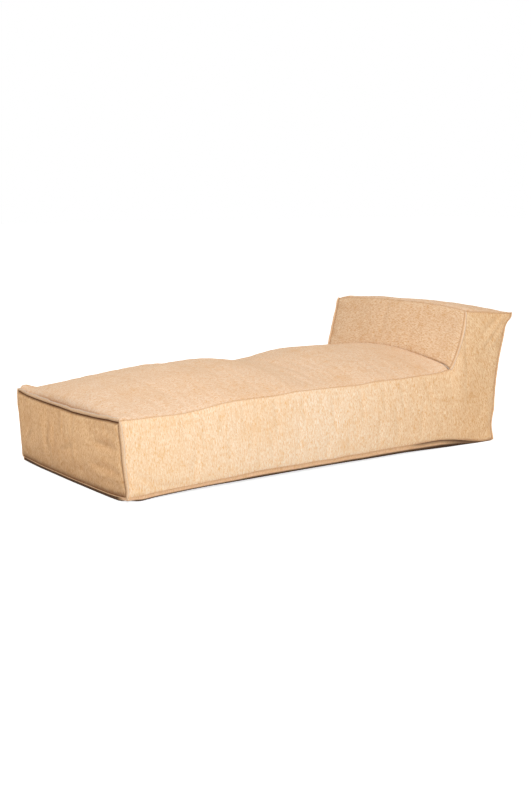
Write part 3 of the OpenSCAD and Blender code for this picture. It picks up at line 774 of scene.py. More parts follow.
def chenille(name, tone, fleck, lay_scale, nap, shade_tone, slant=0, warp=.5, streaks=0, painted_light_along_x=()):
    """Napped chenille: short tufts that lie one way, flecks, soft blotches and sheen, with painted
    shade in its shade tone where the mesh's attribute says so. streaks is the share of long flecks.
    The further tones and flecks listed last take over between two places along the block: painted light and
    shade."""
    t = Tree(name)
    uv = t.node("UVMap", uv_map="cloth_lay").outputs["UV"]
    space = t.space()
    lay = t.mapped(uv, scale=lay_scale, turn=(0, 0, radians(slant)))
    tuft = t.noise(lay, 290, detail=5, rough=.74, warp=warp, flat=True)
    hair = t.noise(lay, 1500, detail=3, rough=.7, warp=warp * .5, flat=True)
    spot = t.noise(lay, 100, detail=3, rough=.65, warp=warp, flat=True)
    blotch = t.noise(space, 22, detail=3, rough=.6)
    wide = t.noise(space, 4)
    # Painted light and shade: the tone and flecks change along the block
    for start, stop, other, other_fleck in painted_light_along_x:
        share = t.band(t.split(space)["X"], start, stop)
        tone = t.blend(share, tone, other)
        fleck = t.blend(share, fleck, other_fleck)
    colour = t.blend(t.band(tuft, .58, .36), tone, fleck)
    colour = t.blend(t.band(spot, .52, .72, 0, .4), colour, fleck)
    colour = t.blend(t.band(hair, .42, .66, 0, .45), colour, tone)
    if streaks:
        lie = t.noise(t.mapped(lay, scale=(1, .3, 1)), 230, rough=.6, flat=True)
        colour = t.blend(t.band(lie, .5, .7, 0, streaks), colour, fleck)
    colour = t.blend(t.band(blotch, .52, .78, 0, .4), colour, fleck)
    colour = t.blend(t.band(wide, .45, .75, 0, .2), colour, fleck)
    # Painted shade: the colour blended toward the shade tone where the mesh's attribute says so
    colour = t.blend(t.scaled(t.attribute("painted_shade"), .92), colour, shade_tone)
    pile = t.math("ADD", t.scaled(tuft, .7), t.scaled(hair, .3))
    pile = t.math("ADD", pile, t.scaled(spot, .9))
    return t.shade(colour, t.band(tuft, .3, .7, .96, .84), pile, .6, nap, {
        "Sheen Weight": t.band(t.attribute("painted_shade"), 0, .8, .2, 0), "Sheen Roughness": .45,
        "Sheen Tint": linear(250, 232, 205), "Specular IOR Level": .12})


def welt_chenille():
    """The welts' cloth: greyed where the fold's edge shows, with painted shade in ochre along the flat seams
    and at the foot of the tall welts.
    """
    t = Tree("welt_chenille")
    space = t.space()
    tuft = t.noise(space, 420, detail=3, rough=.6)
    blotch = t.noise(space, 60)
    colour = t.blend(t.band(tuft, .36, .66), linear(224, 184, 140), linear(250, 222, 188))
    grey = t.scaled(t.attribute("crest"), t.band(blotch, .3, .6, .6, 1.0))
    colour = t.blend(grey, colour, linear(220, 207, 195))
    # Painted shade toward ochre, where the mesh's attribute says so
    colour = t.blend(t.scaled(t.attribute("painted_shade"), .75), colour, linear(176, 124, 78))
    return t.shade(colour, t.band(tuft, .3, .7, .95, .85), tuft, .5, .001, {
        "Sheen Weight": .15, "Sheen Roughness": .45, "Specular IOR Level": .12})


UPRIGHT = (1.15, .28, 1)
FLECK = linear(228, 179, 114)
# OCHRE: the tone of the painted shade for the side's and the seat's cloth; the other cloths give theirs last
OCHRE = linear(152, 100, 58)
# The side's cloth is painted lighter and paler toward the foot, and warmer with darker flecks toward the
# rear: painted light and shade
SIDE_CLOTH = chenille("side_chenille", linear(248, 229, 205), FLECK, UPRIGHT, .0008, OCHRE, streaks=.4,
                      painted_light_along_x=((-.8, -.3, linear(250, 238, 222), FLECK),
                               (.02, .74, linear(255, 232, 199), linear(210, 153, 86))))
SEAT_CLOTH = chenille("seat_chenille", linear(242, 222, 203), linear(219, 167, 104), (.42, .85, 1), .0011,
                      OCHRE, slant=35, warp=1.0)
# The foot's cloth is warmer and more saturated than the side's: painted shade
FOOT_CLOTH = chenille("foot_chenille", linear(252, 217, 173), linear(203, 146, 88), UPRIGHT, .0034,
                      linear(86, 38, 14))
HEAD_CLOTH = chenille("headrest_chenille", linear(240, 216, 188), linear(208, 158, 102), (.26, .9, 1), .0012,
                      linear(150, 100, 62))
# The underside's cloth is darker and pinker than the side's: painted shade
BASE_CLOTH = chenille("underside_chenille", linear(238, 204, 172), linear(216, 168, 118), UPRIGHT, .0009,
                      linear(38, 14, 6))
WELT_CLOTH = welt_chenille()


def woven(name, light, dark, per_metre, roughness, depth):
    """Plain weave of fine threads, in two tones, for the zip's tapes and the inner bags."""
    t = Tree(name)
    space = t.space()
    split = t.split(space)
    both = t.math("ADD", split["X"], split["Z"])
    warp = t.math("SINE", t.scaled(split["Y"], per_metre * 6.283))
    weft = t.math("SINE", t.scaled(both, per_metre * 6.283))
    threads = t.scaled(warp, weft)
    slub = t.noise(space, 160, detail=3, rough=.6)
    rumple = t.noise(space, 26, detail=4, rough=.55, warp=.6)
    tone = t.blend(t.band(threads, -1, 1), dark, light)
    tone = t.blend(t.band(slub, .4, .75, 0, .5), tone, dark)
    height = t.math("ADD", t.scaled(threads, .25), rumple)
    return t.shade(tone, t.band(slub, .3, .7, roughness - .06, roughness + .06), height, .5, depth, {
        "Sheen Weight": .1, "Specular IOR Level": .2})


def twisted_thread():
    """Sewing thread: two tones in slanting twists."""
    t = Tree("sewing_thread")
    space = t.space()
    twist = t.noise(t.mapped(space, scale=(1, 1, .5), turn=(0, radians(35), 0)), 1600, detail=1)
    patch = t.noise(space, 40)
    tone = t.blend(t.band(twist, .4, .6), linear(196, 170, 142), linear(226, 206, 180))
    tone = t.blend(t.band(patch, .4, .7, 0, .3), tone, linear(208, 184, 160))
    return t.shade(tone, t.band(twist, .3, .7, .6, .75), twist, .4, .0002, {"Specular IOR Level": .3})


def coil_nylon():
    """The coil's filament: drawn nylon with fine die lines."""
    t = Tree("coil_nylon")
    space = t.space()
    lines = t.noise(space, 2400, detail=1)
    patch = t.noise(space, 30)
    tone = t.blend(t.band(patch, .35, .65), linear(214, 188, 154), linear(226, 202, 170))
    return t.shade(tone, t.band(patch, .3, .7, .32, .46), lines, .25, .0001, {"Coat Weight": .1})


def zip_metal():
    """Plated zinc: brushed lines, faint clouding and small dulled spots from handling."""
    t = Tree("zip_metal")
    space = t.space()
    brushed = t.noise(t.mapped(space, scale=(1, .08, 1)), 2600)
    cloud = t.noise(space, 180, detail=3)
    spots = t.noise(space, 700)
    tone = t.blend(t.band(cloud, .35, .7), linear(176, 172, 164), linear(206, 202, 194))
    tone = t.blend(t.band(spots, .62, .72, 0, .5), tone, linear(138, 130, 118))
    rough = t.math("ADD", t.band(brushed, .3, .7, .22, .34), t.band(spots, .6, .75, 0, .2))
    return t.shade(tone, rough, brushed, .2, .00006, {"Metallic": 1.0})


def bead_filling():
    """Foamed beads, packed close: round bumps a few millimetres wide, each a little different, with painted
    shade toward each one's edge.
    """
    t = Tree("bead_filling")
    cells = t.node("TexVoronoi", {"Scale": 250, "Vector": t.space()}, feature="F1").outputs
    split = t.split(cells["Color"])
    tone = t.blend(split["X"], linear(228, 227, 222), linear(248, 248, 245))
    # Painted shade: darker toward the edges, between the beads
    tone = t.blend(t.band(cells["Distance"], .45, .8), tone, linear(190, 188, 182))
    return t.shade(tone, t.band(split["Y"], 0, 1, .55, .75), cells["Distance"], 1.0, .002,
                   {"Specular IOR Level": .3}, invert=True)


THREAD = twisted_thread()
COIL_NYLON = coil_nylon()
ZIP_METAL = zip_metal()
BEADS = bead_filling()
TAPE_WEAVE = woven("tape_weave", linear(232, 206, 172), linear(204, 172, 134), 1100, .8, .0002)
BAG_COTTON = woven("bag_cotton", linear(240, 234, 222), linear(220, 212, 198), 900, .85, .004)


# Covers

def stations(n):
    return np.linspace(0, 1, n + 1)


def side_edges(us, kinds):
    """Shares of the three seams along a side's upper edge."""
    seat = (us <= NOOK_U).astype(float)
    top = (us >= FRONT_U).astype(float)
    front = 1 - seat - top
    shares = [np.convolve(np.pad(a, 4, mode="edge"), np.ones(9) / 9, mode="valid")
              for a in (seat, front, top)]
    return list(zip(shares, kinds))


def edge_stations(length, n):
    """Even stations, with closer ones within 25 mm of both ends."""
    near = 25 * MM / length
    return stretch((0, near, 14), (near, 1 - near, n), (1 - near, 1, 14))


def base_edges(us, kinds):
    """Shares along the near base seam, which is of another kind at the rear."""
    rear = smoothstep(.7, .78, us)
    return [(1 - rear, kinds[0]), (rear, kinds[1])]


US = side_stations(1)
US_SIM = side_stations(.43)
SIDE_V = stations(76)
SIDE_V_SIM = stations(30)
BASE_US = edge_stations(BASE_L, 150)

# name: surface, fine stations, coarse stations, edges (u low, u high, v low, v high), material,
# CAD node, seed, lump height, and for some: how dark the painted shade of the low band is
# (painted_low_shade), whether the grid runs from the back to the foot (turned), the edge with a line of
# stitches beside it (sewn)
COVERS = {
    "seat_cover": dict(
        surface=seat_surface, us=stations(256), vs=stations(132), us_sim=stations(108), vs_sim=stations(56),
        edges=(BACKED, CROOK, THIN, THIN), cloth=SEAT_CLOTH, node="seat_panel", seed=3, lump=1.3 * MM),
    "foot_cover": dict(
        surface=foot_surface, us=edge_stations(BASE_W, 124), vs=edge_stations(FOOT_H, 44),
        us_sim=stations(57), vs_sim=stations(21), edges=(LIPPED, SLOT, HEM, UNDER), cloth=FOOT_CLOTH,
        node="foot_panel", seed=5, lump=2.4 * MM, painted_low_shade=.62),
    "headrest_front_cover": dict(
        surface=head_front_surface, us=stations(136), vs=stations(44), us_sim=stations(57),
        vs_sim=stations(18), edges=(LIPPED, FOLDED, CROOK, THIN), cloth=HEAD_CLOTH,
        node="headrest_front_panel", seed=7, lump=1.4 * MM),
    "headrest_top_cover": dict(
        surface=head_top_surface, us=stations(48), vs=stations(132), us_sim=stations(19),
        vs_sim=stations(56), edges=(PUFFED, THIN, THIN, THIN), cloth=SEAT_CLOTH,
        node="headrest_top_panel", seed=9, lump=1.2 * MM),
    "near_side_cover": dict(
        surface=side_surface(NEAR_S, -1), us=US, vs=SIDE_V, us_sim=US_SIM, vs_sim=SIDE_V_SIM,
        edges=(BACKED, LIPPED, base_edges(US, (THIN, SLIT)), side_edges(US, (THIN, BACKED, THIN))),
        cloth=SIDE_CLOTH, node="near_side_panel", seed=11, lump=1.4 * MM),
    "far_side_cover": dict(
        surface=side_surface(FAR_S, 1), us=US, vs=SIDE_V, us_sim=US_SIM, vs_sim=SIDE_V_SIM,
        edges=(LIPPED, BACKED, THIN, side_edges(1 - US[::-1], (THIN, BACKED, THIN))), cloth=SIDE_CLOTH,
        node="far_side_panel", seed=13, lump=1.4 * MM, turned=True),
    "back_cover": dict(
        surface=back_surface, us=stations(136), vs=stations(72), us_sim=stations(57), vs_sim=stations(31),
        edges=(BACKED, BACKED, ZIPPED, THIN), cloth=SIDE_CLOTH, node="back_panel", seed=15, lump=1.8 * MM,
        sewn=2),
    "back_hem_cover": dict(
        surface=back_hem_surface, us=stations(136), vs=stations(12), us_sim=None, vs_sim=None,
        edges=(BACKED, BACKED, HEM, ZIPPED), cloth=SIDE_CLOTH, node="back_hem_panel", seed=17,
        lump=.4 * MM, sewn=3),
    "underside_cover": dict(
        surface=base_surface, us=BASE_US, vs=edge_stations(BASE_W, 70), us_sim=None, vs_sim=None,
        edges=(ROUND, ROUND, ROUND, base_edges(BASE_US, (ROUND, SHADED))), cloth=BASE_CLOTH,
        node="base_panel", seed=19, lump=0),
}

# Folds: from, to, half width, depth, which also sets their painted shade
CREASES = {
    "near_side_cover": [
        ((.900, -.415, .512), (.788, -.415, .400), .011, 9 * MM),
        ((.905, -.415, .468), (.845, -.415, .385), .010, 4.5 * MM),
        ((.862, -.415, .515), (.755, -.415, .455), .013, 3.5 * MM),
        ((-.908, -.415, .075), (-.842, -.415, .034), .009, 3.2 * MM),
        ((-.890, -.415, .100), (-.790, -.415, .060), .012, 2.2 * MM),
        ((-.820, -.415, .050), (-.670, -.415, .036), .014, 2.6 * MM),
        ((-.905, -.415, .215), (-.845, -.415, .190), .012, 1.6 * MM),
    ],
    "foot_cover": [
        ((-.932, -.215, .190), (-.932, -.385, .184), .014, 7.0 * MM),
        ((-.932, -.200, .108), (-.932, -.385, .100), .014, 7.0 * MM),
        ((-.932, -.235, .054), (-.932, -.380, .058), .012, 5.0 * MM),
        ((-.932, .024, .258), (-.932, .030, .180), .008, -2.4 * MM),
        ((-.932, .150, .190), (-.932, .158, .070), .018, 4.5 * MM),
        ((-.932, -.140, .080), (-.932, -.020, .040), .016, 4.5 * MM),
        ((-.932, .300, .140), (-.932, .385, .060), .015, 5.0 * MM),
        ((-.932, -.060, .150), (-.932, .060, .110), .020, 3.5 * MM),
    ],
    "headrest_front_cover": [
        ((.640, -.300, .400), (.640, -.150, .425), .016, 2.6 * MM),
        ((.640, .220, .430), (.640, .350, .400), .018, 3.0 * MM),
        ((.640, -.370, .500), (.640, -.300, .455), .014, 2.0 * MM),
    ],
    "back_cover": [
        ((.915, -.390, .500), (.900, -.250, .380), .018, 4 * MM),
        ((.915, .390, .500), (.900, .260, .390), .018, 4 * MM),
        ((.860, -.380, .130), (.870, -.260, .190), .016, 3 * MM),
        ((.860, .380, .120), (.870, .280, .200), .016, 3 * MM),
    ],
    "far_side_cover": [
        ((.870, .415, .490), (.790, .415, .420), .016, 4 * MM),
        ((-.905, .415, .090), (-.820, .415, .040), .012, 3 * MM),
        ((-.905, .415, .240), (-.840, .415, .215), .012, 2 * MM),
    ],
}

# Swells and hollows of the filling: centre, radius, height
LUMPS = {
    "seat_cover": [
        ((-.760, .280, .330), .11, 4.5 * MM),
        ((-.380, .110, .385), .12, -5 * MM),
        ((.250, .080, .400), .13, 4 * MM),
        ((-.917, .380, .300), .032, 13 * MM),
        ((-.900, -.368, .300), .035, 4 * MM),
    ],
    "headrest_top_cover": [
        ((.640, .350, .560), .07, 3 * MM),
        ((.825, .035, .565), .12, -5 * MM),
        ((.790, -.290, .560), .09, 6 * MM),
    ],
}


def under_edge_shade(us, vs):
    """How far a point of the underside has turned out of sight, 0 to 1, as painted shade; the part
    near the foot end is painted dark too, but for the near corner.
    """
    end, side, inset, rim = base_inset(us, vs)
    start = .1 * EDGE_ROUND * (1 - smoothstep(.8, .9, us))[:, None]
    hidden = smoothstep(0, .16 * EDGE_ROUND, inset - start)
    at_foot = (us < .5)[:, None] * smoothstep(0, 25 * MM, side - end)
    near_corner = (vs < .5)[None] * (1 - smoothstep(10 * MM, 60 * MM, side))
    shaded = .97 * at_foot * (1 - near_corner)
    return np.maximum(hidden, shaded)[:, ::-1]


def make_cover(name, spec, moved):
    us, vs = spec["us"], spec["vs"]
    plain = spec["surface"](us, vs)
    dist = lengths(plain)
    near_seam = np.minimum.reduce(dist)
    grid = plain
    if name in moved:
        turned = spec.get("turned", False)
        u_at = 1 - us[::-1] if turned else us
        u_known = 1 - spec["us_sim"][::-1] if turned else spec["us_sim"]
        move = resample(fine_part(moved[name]), u_at, u_known, vs, spec["vs_sim"])
        grid = plain + move * smoothstep(0, 16 * MM, near_seam)[..., None]
    height, painted_shade = panel_relief(plain, dist, spec, name)
    # Painted shade on the low band near the floor: darkest at the lower seam, fading upward over 130 mm
    if "painted_low_shade" in spec:
        close = np.exp(-(dist[2] / (16 * MM)) ** 2)
        wide = .42 * (1 - smoothstep(0, 130 * MM, dist[2]))
        painted_shade = np.maximum(painted_shade, spec["painted_low_shade"] * (close + wide))
    grid = grid + normals_of(plain) * height[..., None]
    if name == "underside_cover":
        grid[..., 2] = np.maximum(grid[..., 2], .5 * FLOOR_CLEAR)
        # Painted shade, near black, where the underside turns out of sight and near the foot end
        painted_shade = np.maximum(painted_shade, under_edge_shade(us, vs))
    if "sewn" in spec:
        sew_panel(grid, dist[spec["sewn"]], 6 * MM)
    thick = mix(.7 * MM, COVER_T, smoothstep(0, 10 * MM, near_seam))
    mesh = cover_mesh(name, grid, thick, painted_shade)
    obj = place(name, mesh, spec["cloth"])
    declare(obj, spec["node"])


# Welts

# Height of the stitches on a welt, and half the length that is sewn along the zip
SEW_H = 3.2 * MM
ZIP_SEWN = 385 * MM
# How a welt's height and its lean vary: by how much, over the longest and the shortest waves
HEIGHT_WAVES = (.7 * MM, .09, .03)
LEAN_WAVES = (1.6 * MM, .11, .035)
WELT_T = 3.4 * MM
RIDGE_SUNK = 1.6 * MM
CROSS_SPAN = (.006, .994)
SEWN = {"cover_stitches": [], "zip_stitches": []}


def sew_welt(points, out, across, half_t, height, waver):
    """Note a line of stitches along each face of a welt, wherever it stands tall."""
    tall = height > .5 * WELT_H
    breaks = np.flatnonzero(np.diff(tall.astype(int))) + 1
    for run in np.split(np.arange(len(points)), breaks):
        if not tall[run[0]] or len(run) < 8:
            continue
        run = run[2:-2]
        lean = waver[run] * SEW_H / height[run]
        for face in (-1, 1):
            off = face * (half_t[run] + .1 * MM) + lean
            SEWN["cover_stitches"].append(points[run] + out[run] * SEW_H + across[run] * off[:, None])


def sew_panel(grid, dist, gap):
    """Note a line of stitches on a panel, at one distance from its edge."""
    line = []
    for points, d in zip(grid, dist):
        order = np.argsort(d)
        line.append([np.interp(gap, d[order], points[order, k]) for k in range(3)])
    line = np.array(line)
    SEWN["zip_stitches"].append(line[np.abs(line[:, 1]) < ZIP_SEWN] + vec(.2 * MM, 0, 0))


def sweep(name, points, out, half_t, height, waver, grey_from, shaded=(1, 1)):
    """A folded flange of cloth along a line of points, standing out along its own directions;
    shaded says how dark the painted shade at the foot of each of its two faces is."""
    tangent = np.gradient(points, axis=0)
    tangent = tangent / np.linalg.norm(tangent, axis=1, keepdims=True)
    out = out - (out * tangent).sum(axis=1, keepdims=True) * tangent
    out = out / np.linalg.norm(out, axis=1, keepdims=True)
    across = np.cross(tangent, out)
    sew_welt(points, out, across, half_t, height, waver)
    profile = [(-3.0, -1.0), (0, -1.0), (.35, -1.0), (.7, -1.05), (.92, -.8), (1.0, 0),
               (.92, .8), (.7, 1.05), (.35, 1.0), (0, 1.0), (-3.0, 1.0)]
    rows = []
    crest = []
    painted_shade = []
    for rise, w in profile:
        up = height * rise if rise >= 0 else np.full(len(points), rise * MM)
        lean = waver * max(rise, 0)
        rows.append(points + out * up[:, None] + across * (half_t * w + lean)[:, None])
        crest.append(smoothstep(grey_from, grey_from + .25, max(rise, 0)))
        # Painted shade: a low ridge is darkened all along, a tall flange at the foot of its faces
        face = shaded[0] if w < 0 else shaded[1]
        foot_of_face = 1 - float(smoothstep(0, .3, rise))
        painted_shade.append(face * mix(.4, .6 * foot_of_face, smoothstep(3 * MM, 6 * MM, height)))
    grid = np.stack(rows, axis=1)
    n, m = grid.shape[:2]
    ids = np.arange(n * m).reshape(n, m)
    after = np.roll(ids, -1, axis=1)
    quads = np.stack([ids[:-1], after[:-1], after[1:], ids[1:]], axis=-1).reshape(-1, 4).tolist()
    quads.append(ids[0, ::-1].tolist())
    quads.append(ids[-1].tolist())
    mesh = new_mesh(name, grid.reshape(-1, 3).tolist(), quads, smooth=True)
    add_values(mesh, "crest", np.stack(crest, axis=1))
    add_values(mesh, "painted_shade", np.stack(painted_shade, axis=1))
    mesh.update()
    outwards(mesh)
    return mesh


def along(line, t0, t1, cell=4 * MM):
    coarse = line(np.linspace(t0, t1, 60))
    size = np.linalg.norm(np.diff(coarse, axis=0), axis=1).sum()
    return line(np.linspace(t0, t1, max(8, round(size / cell))))


def waves(points, seed, height, longest, shortest):
    return height * uneven(points, seed, waves=10, longest=longest, shortest=shortest)


def round_blur(field):
    """Soften the values along a closed line."""
    return blur(np.concatenate([field[-20:], field, field[:20]]), 5, 0)[20:-20]


def make_side_welt(name, seams, sign, node, seed):
    """One welt round a side: tall on its upright seams, a low ridge on the others."""
    ahead = (.1, .2) if sign < 0 else (-.9, -.9)
    low = (RIDGE_H, 1.2)
    foot = (FOOT_WELT_H, .82) if sign < 0 else (LOW_WELT_H, 1.2)
    front = (WELT_H, .62)
    back = (LOW_WELT_H, 1.2)
    route = [("foot", False, (ahead[0], .44 * sign, 0), foot), ("seat", False, (0, .7 * sign, .7), low),
             ("front", False, (ahead[1], .5 * sign, 0), front), ("top", False, (0, .7 * sign, .7), low),
             ("back", True, (.7, .7 * sign, 0), back), ("base", True, (0, .7 * sign, -.7), low)]
    pieces = []
    for key, turned, out, (rise, grey) in route:
        line = along(seams[key], 0, 1)
        if turned:
            line = line[::-1]
        count = len(line)
        way = np.tile(np.array(out, float), (count, 1))
        pieces.append((line, way, np.full(count, rise), np.full(count, grey)))
    points, ways, heights, greys = [np.concatenate([p[k][:-1] for p in pieces]) for k in range(4)]
    n = len(points)
    ways = round_blur(ways)
    heights = round_blur(heights[:, None])[:, 0]
    order = np.append(np.arange(n), 0)
    points, ways, heights, greys = points[order], ways[order], heights[order], greys[order]
    tall_share = smoothstep(RIDGE_H, WELT_H, heights)
    heights = heights + tall_share * waves(points, seed, *HEIGHT_WAVES)
    waver = tall_share * waves(points, seed + 1, *LEAN_WAVES)
    half_t = mix(1.3 * MM, WELT_T / 2 * np.maximum(1, heights / WELT_H), tall_share)
    sunk = points - ways * mix(RIDGE_SUNK, 0, tall_share)[:, None]
    mesh = sweep(name, sunk, ways, half_t, heights, waver, greys)
    finish_welt(name, mesh, node)


def make_cross_welt(name, line, out, tall, node, seed):
    """A welt across the block; a tall one is lower at its far end."""
    points = along(line, *CROSS_SPAN)
    ways = np.tile(np.array(out, float), (len(points), 1))
    height = np.full(len(points), FOOT_WELT_H if tall else RIDGE_H)
    if tall:
        height = height + waves(points, seed, *HEIGHT_WAVES)
        height = height * (1 - .75 * smoothstep(.965, .995, np.linspace(*CROSS_SPAN, len(points))))
        waver = waves(points, seed + 1, *LEAN_WAVES)
        half_t = np.full(len(points), WELT_T / 2)
    else:
        waver = np.zeros(len(points))
        half_t = np.full(len(points), .9 * MM)
        points = points - ways * RIDGE_SUNK
    grey_from = np.full(len(points), .74 if tall else 1.2)
    mesh = sweep(name, points, ways, half_t, height, waver, grey_from, (1, .1) if tall else (1, 1))
    finish_welt(name, mesh, node)


def make_nook_welt():
    """The welt in the crook: hidden there, but for a short end that shows on the near side."""
    points = along(NOOK, .004, .996)
    t = np.linspace(0, 1, len(points))
    ways = np.tile(np.array((-.55, 0, .83)), (len(points), 1))
    height = mix(7.5 * MM, 3 * MM, smoothstep(.012, .05, t))
    waver = waves(points, 46, .6 * MM, .12, .05)
    half_t = np.full(len(points), 1.4 * MM)
    grey_from = mix(-.3, .3, smoothstep(.02, .05, t))
    mesh = sweep("nook_flange", points, ways, half_t, height, waver, grey_from, (.2, .2))
    finish_welt("nook_flange", mesh, "nook_welt")


def finish_welt(name, mesh, node):
    declare(place(name, mesh, WELT_CLOTH), node)


# What repeats: stitches and the turns of the zip's coil, by Geometry Nodes

class Winding(Nodes):
    """A Geometry Nodes tree with named inputs, ending in Realize Instances and Set Material."""

    def __init__(self, name, inputs):
        self.tree = bpy.data.node_groups.new(name, "GeometryNodeTree")
        face = self.tree.interface
        self.sockets = {}
        for label, kind, value in inputs:
            made = face.new_socket(label, in_out="INPUT", socket_type="NodeSocket" + kind)
            if value is not None:
                made.default_value = value
            self.sockets[label] = made.identifier
        face.new_socket("Geometry", in_out="OUTPUT", socket_type="NodeSocketGeometry")
        self.given = self.tree.nodes.new("NodeGroupInput").outputs
        self.out = self.tree.nodes.new("NodeGroupOutput")

    def node(self, kind, values=(), **settings):
        return self.add(kind, values, settings).outputs

    def half(self, value):
        return self.node("ShaderNodeMath", {0: value, 1: .5}, operation="MULTIPLY")[0]

    def end(self, geometry):
        real = self.node("GeometryNodeRealizeInstances", {"Geometry": geometry})[0]
        smooth = self.node("GeometryNodeSetShadeSmooth", {"Geometry": real})[0]
        done = self.node("GeometryNodeSetMaterial", {"Geometry": smooth, "Material": self.given["Material"]})
        self.tree.links.new(done[0], self.out.inputs[0])

    def run(self, name, base, values):
        """Evaluate the tree on a base mesh and return a plain piece."""
        source = bpy.data.objects.new(name + "_path", base)
        bpy.context.scene.collection.objects.link(source)
        modifier = source.modifiers.new("winding", "NODES")
        modifier.node_group = self.tree
        for label, value in values.items():
            modifier[self.sockets[label]] = value
        depsgraph = bpy.context.evaluated_depsgraph_get()
        mesh = bpy.data.meshes.new_from_object(source.evaluated_get(depsgraph))
        source.modifiers.remove(modifier)
        bpy.data.objects.remove(source)
        bpy.data.meshes.remove(base)
        mesh.name = name
        outwards(mesh)
        piece = bpy.data.objects.new(name, mesh)
        bpy.context.scene.collection.objects.link(piece)
        return piece


def outwards(mesh):
    bm = bmesh.new()
    bm.from_mesh(mesh)
    bmesh.ops.recalc_face_normals(bm, faces=bm.faces)
    bm.to_mesh(mesh)
    bm.free()


def stitch_tree():
    """Short plump stitches, one at each step along the given sewing lines."""
    w = Winding("stitch_row", [
        ("Geometry", "Geometry", None), ("Pitch", "Float", .005), ("Stitch Length", "Float", .0042),
        ("Thread", "Float", .0008), ("Seed", "Int", 4), ("Material", "Material", None)])
    curve = w.node("GeometryNodeMeshToCurve", {"Mesh": w.given["Geometry"]})[0]
    pitch = {"Curve": curve, "Length": w.given["Pitch"]}
    steps = w.node("GeometryNodeResampleCurve", pitch, mode="LENGTH")[0]
    ball = w.node("GeometryNodeMeshUVSphere", {"Segments": 6, "Rings": 5, "Radius": 1.0})[0]
    tangent = w.node("GeometryNodeInputTangent")[0]
    turn = w.node("FunctionNodeAlignRotationToVector", {"Vector": tangent}, axis="Z")[0]
    vary = w.node("FunctionNodeRandomValue", {2: .84, 3: 1.0, "Seed": w.given["Seed"]}, data_type="FLOAT")[1]
    long = w.node("ShaderNodeMath", {0: w.half(w.given["Stitch Length"]), 1: vary}, operation="MULTIPLY")[0]
    thin = w.half(w.given["Thread"])
    scale = w.node("ShaderNodeCombineXYZ", {"X": thin, "Y": thin, "Z": long})[0]
    w.end(w.node("GeometryNodeInstanceOnPoints",
                 {"Points": steps, "Instance": ball, "Rotation": turn, "Scale": scale})[0])
    return w


def coil_tree():
    """A filament wound into a flat helix along +Y."""
    w = Winding("zip_coil_winding", [
        ("Geometry", "Geometry", None), ("Turns", "Float", 480.0), ("Length", "Float", .72),
        ("Half Depth", "Float", .0009), ("Half Width", "Float", .0012), ("Filament", "Float", .0004),
        ("Place", "Vector", None), ("Material", "Material", None)])
    helix = w.node("GeometryNodeCurveSpiral", {
        "Resolution": 8, "Rotations": w.given["Turns"], "Start Radius": 1.0, "End Radius": 1.0,
        "Height": w.given["Length"]})[0]
    sizes = {"X": w.given["Half Depth"], "Y": w.given["Half Width"], "Z": 1.0}
    flat = w.node("ShaderNodeCombineXYZ", sizes)[0]
    laid = w.node("GeometryNodeTransform", {
        "Geometry": helix, "Translation": w.given["Place"], "Rotation": (radians(-90), 0, 0),
        "Scale": flat})[0]
    ring = w.node("GeometryNodeCurvePrimitiveCircle", {"Resolution": 5, "Radius": w.given["Filament"]})[0]
    w.end(w.node("GeometryNodeCurveToMesh", {"Curve": laid, "Profile Curve": ring, "Fill Caps": True})[0])
    return w


def make_stitches():
    tree = stitch_tree()
    for name, lines in SEWN.items():
        points = np.concatenate(lines)
        edges = []
        start = 0
        for line in lines:
            edges += [(start + k, start + k + 1) for k in range(len(line) - 1)]
            start += len(line)
        base = new_mesh(name + "_lines", points.tolist(), edges=edges)
        piece = tree.run(name, base, {"Material": THREAD})
        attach(piece, "lounger")


# Zip: woven tapes, wound coils, crimped stops, slider and pull

FILAMENT = .38 * MM
COIL_PITCH = 1.5 * MM


def make_tape(name, node):
    """A flat woven tape, its face a little uneven, thinner at its edges."""
    low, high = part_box(node)
    ys = np.linspace(low[1], high[1], 393)
    zs = np.linspace(low[2], high[2], 9)
    grid = np.empty((len(ys), len(zs), 3))
    grid[..., 1] = ys[:, None]
    grid[..., 2] = zs[None]
    grid[..., 0] = high[0] - .05 * MM
    edge = np.minimum(zs - low[2], high[2] - zs)
    round_off = smoothstep(0, 1.2 * MM, edge)[None]
    grid[..., 0] += .08 * MM * uneven(grid, 51, longest=.05, shortest=.015) - .25 * MM * (1 - round_off)
    thick = np.tile(mix(.4 * MM, .9 * MM, round_off), (len(ys), 1))
    mesh = cover_mesh(name, grid, thick, np.zeros(grid.shape[:2]))
    declare(place(name, mesh, TAPE_WEAVE), node)


def make_coil(tree, name, node):
    low, high = np.array(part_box(node))
    middle = (low + high) / 2
    half = (high - low) / 2
    base = new_mesh(name + "_base", [(0, 0, 0)])
    piece = tree.run(name, base, {
        "Turns": float(round(2 * half[1] / COIL_PITCH)), "Length": float(2 * (half[1] - FILAMENT)),
        "Half Depth": float(half[0] - FILAMENT), "Half Width": float(half[2] - FILAMENT),
        "Filament": FILAMENT, "Place": (float(middle[0]), float(low[1] + FILAMENT), float(middle[2])),
        "Material": COIL_NYLON})
    declare(piece, node)


def merged_copy(node):
    """A CAD solid's shape with its doubled points merged."""
    bm = bmesh.new()
    bm.from_mesh(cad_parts[node].data)
    bmesh.ops.remove_doubles(bm, verts=bm.verts, dist=.005 * MM)
    return bm


def smooth_mesh(name, bm, sharp_from):
    mesh = bpy.data.meshes.new(name)
    bm.to_mesh(mesh)
    bm.free()
    mesh.polygons.foreach_set("use_smooth", np.ones(len(mesh.polygons), bool))
    mesh.set_sharp_from_angle(angle=radians(sharp_from))
    return mesh


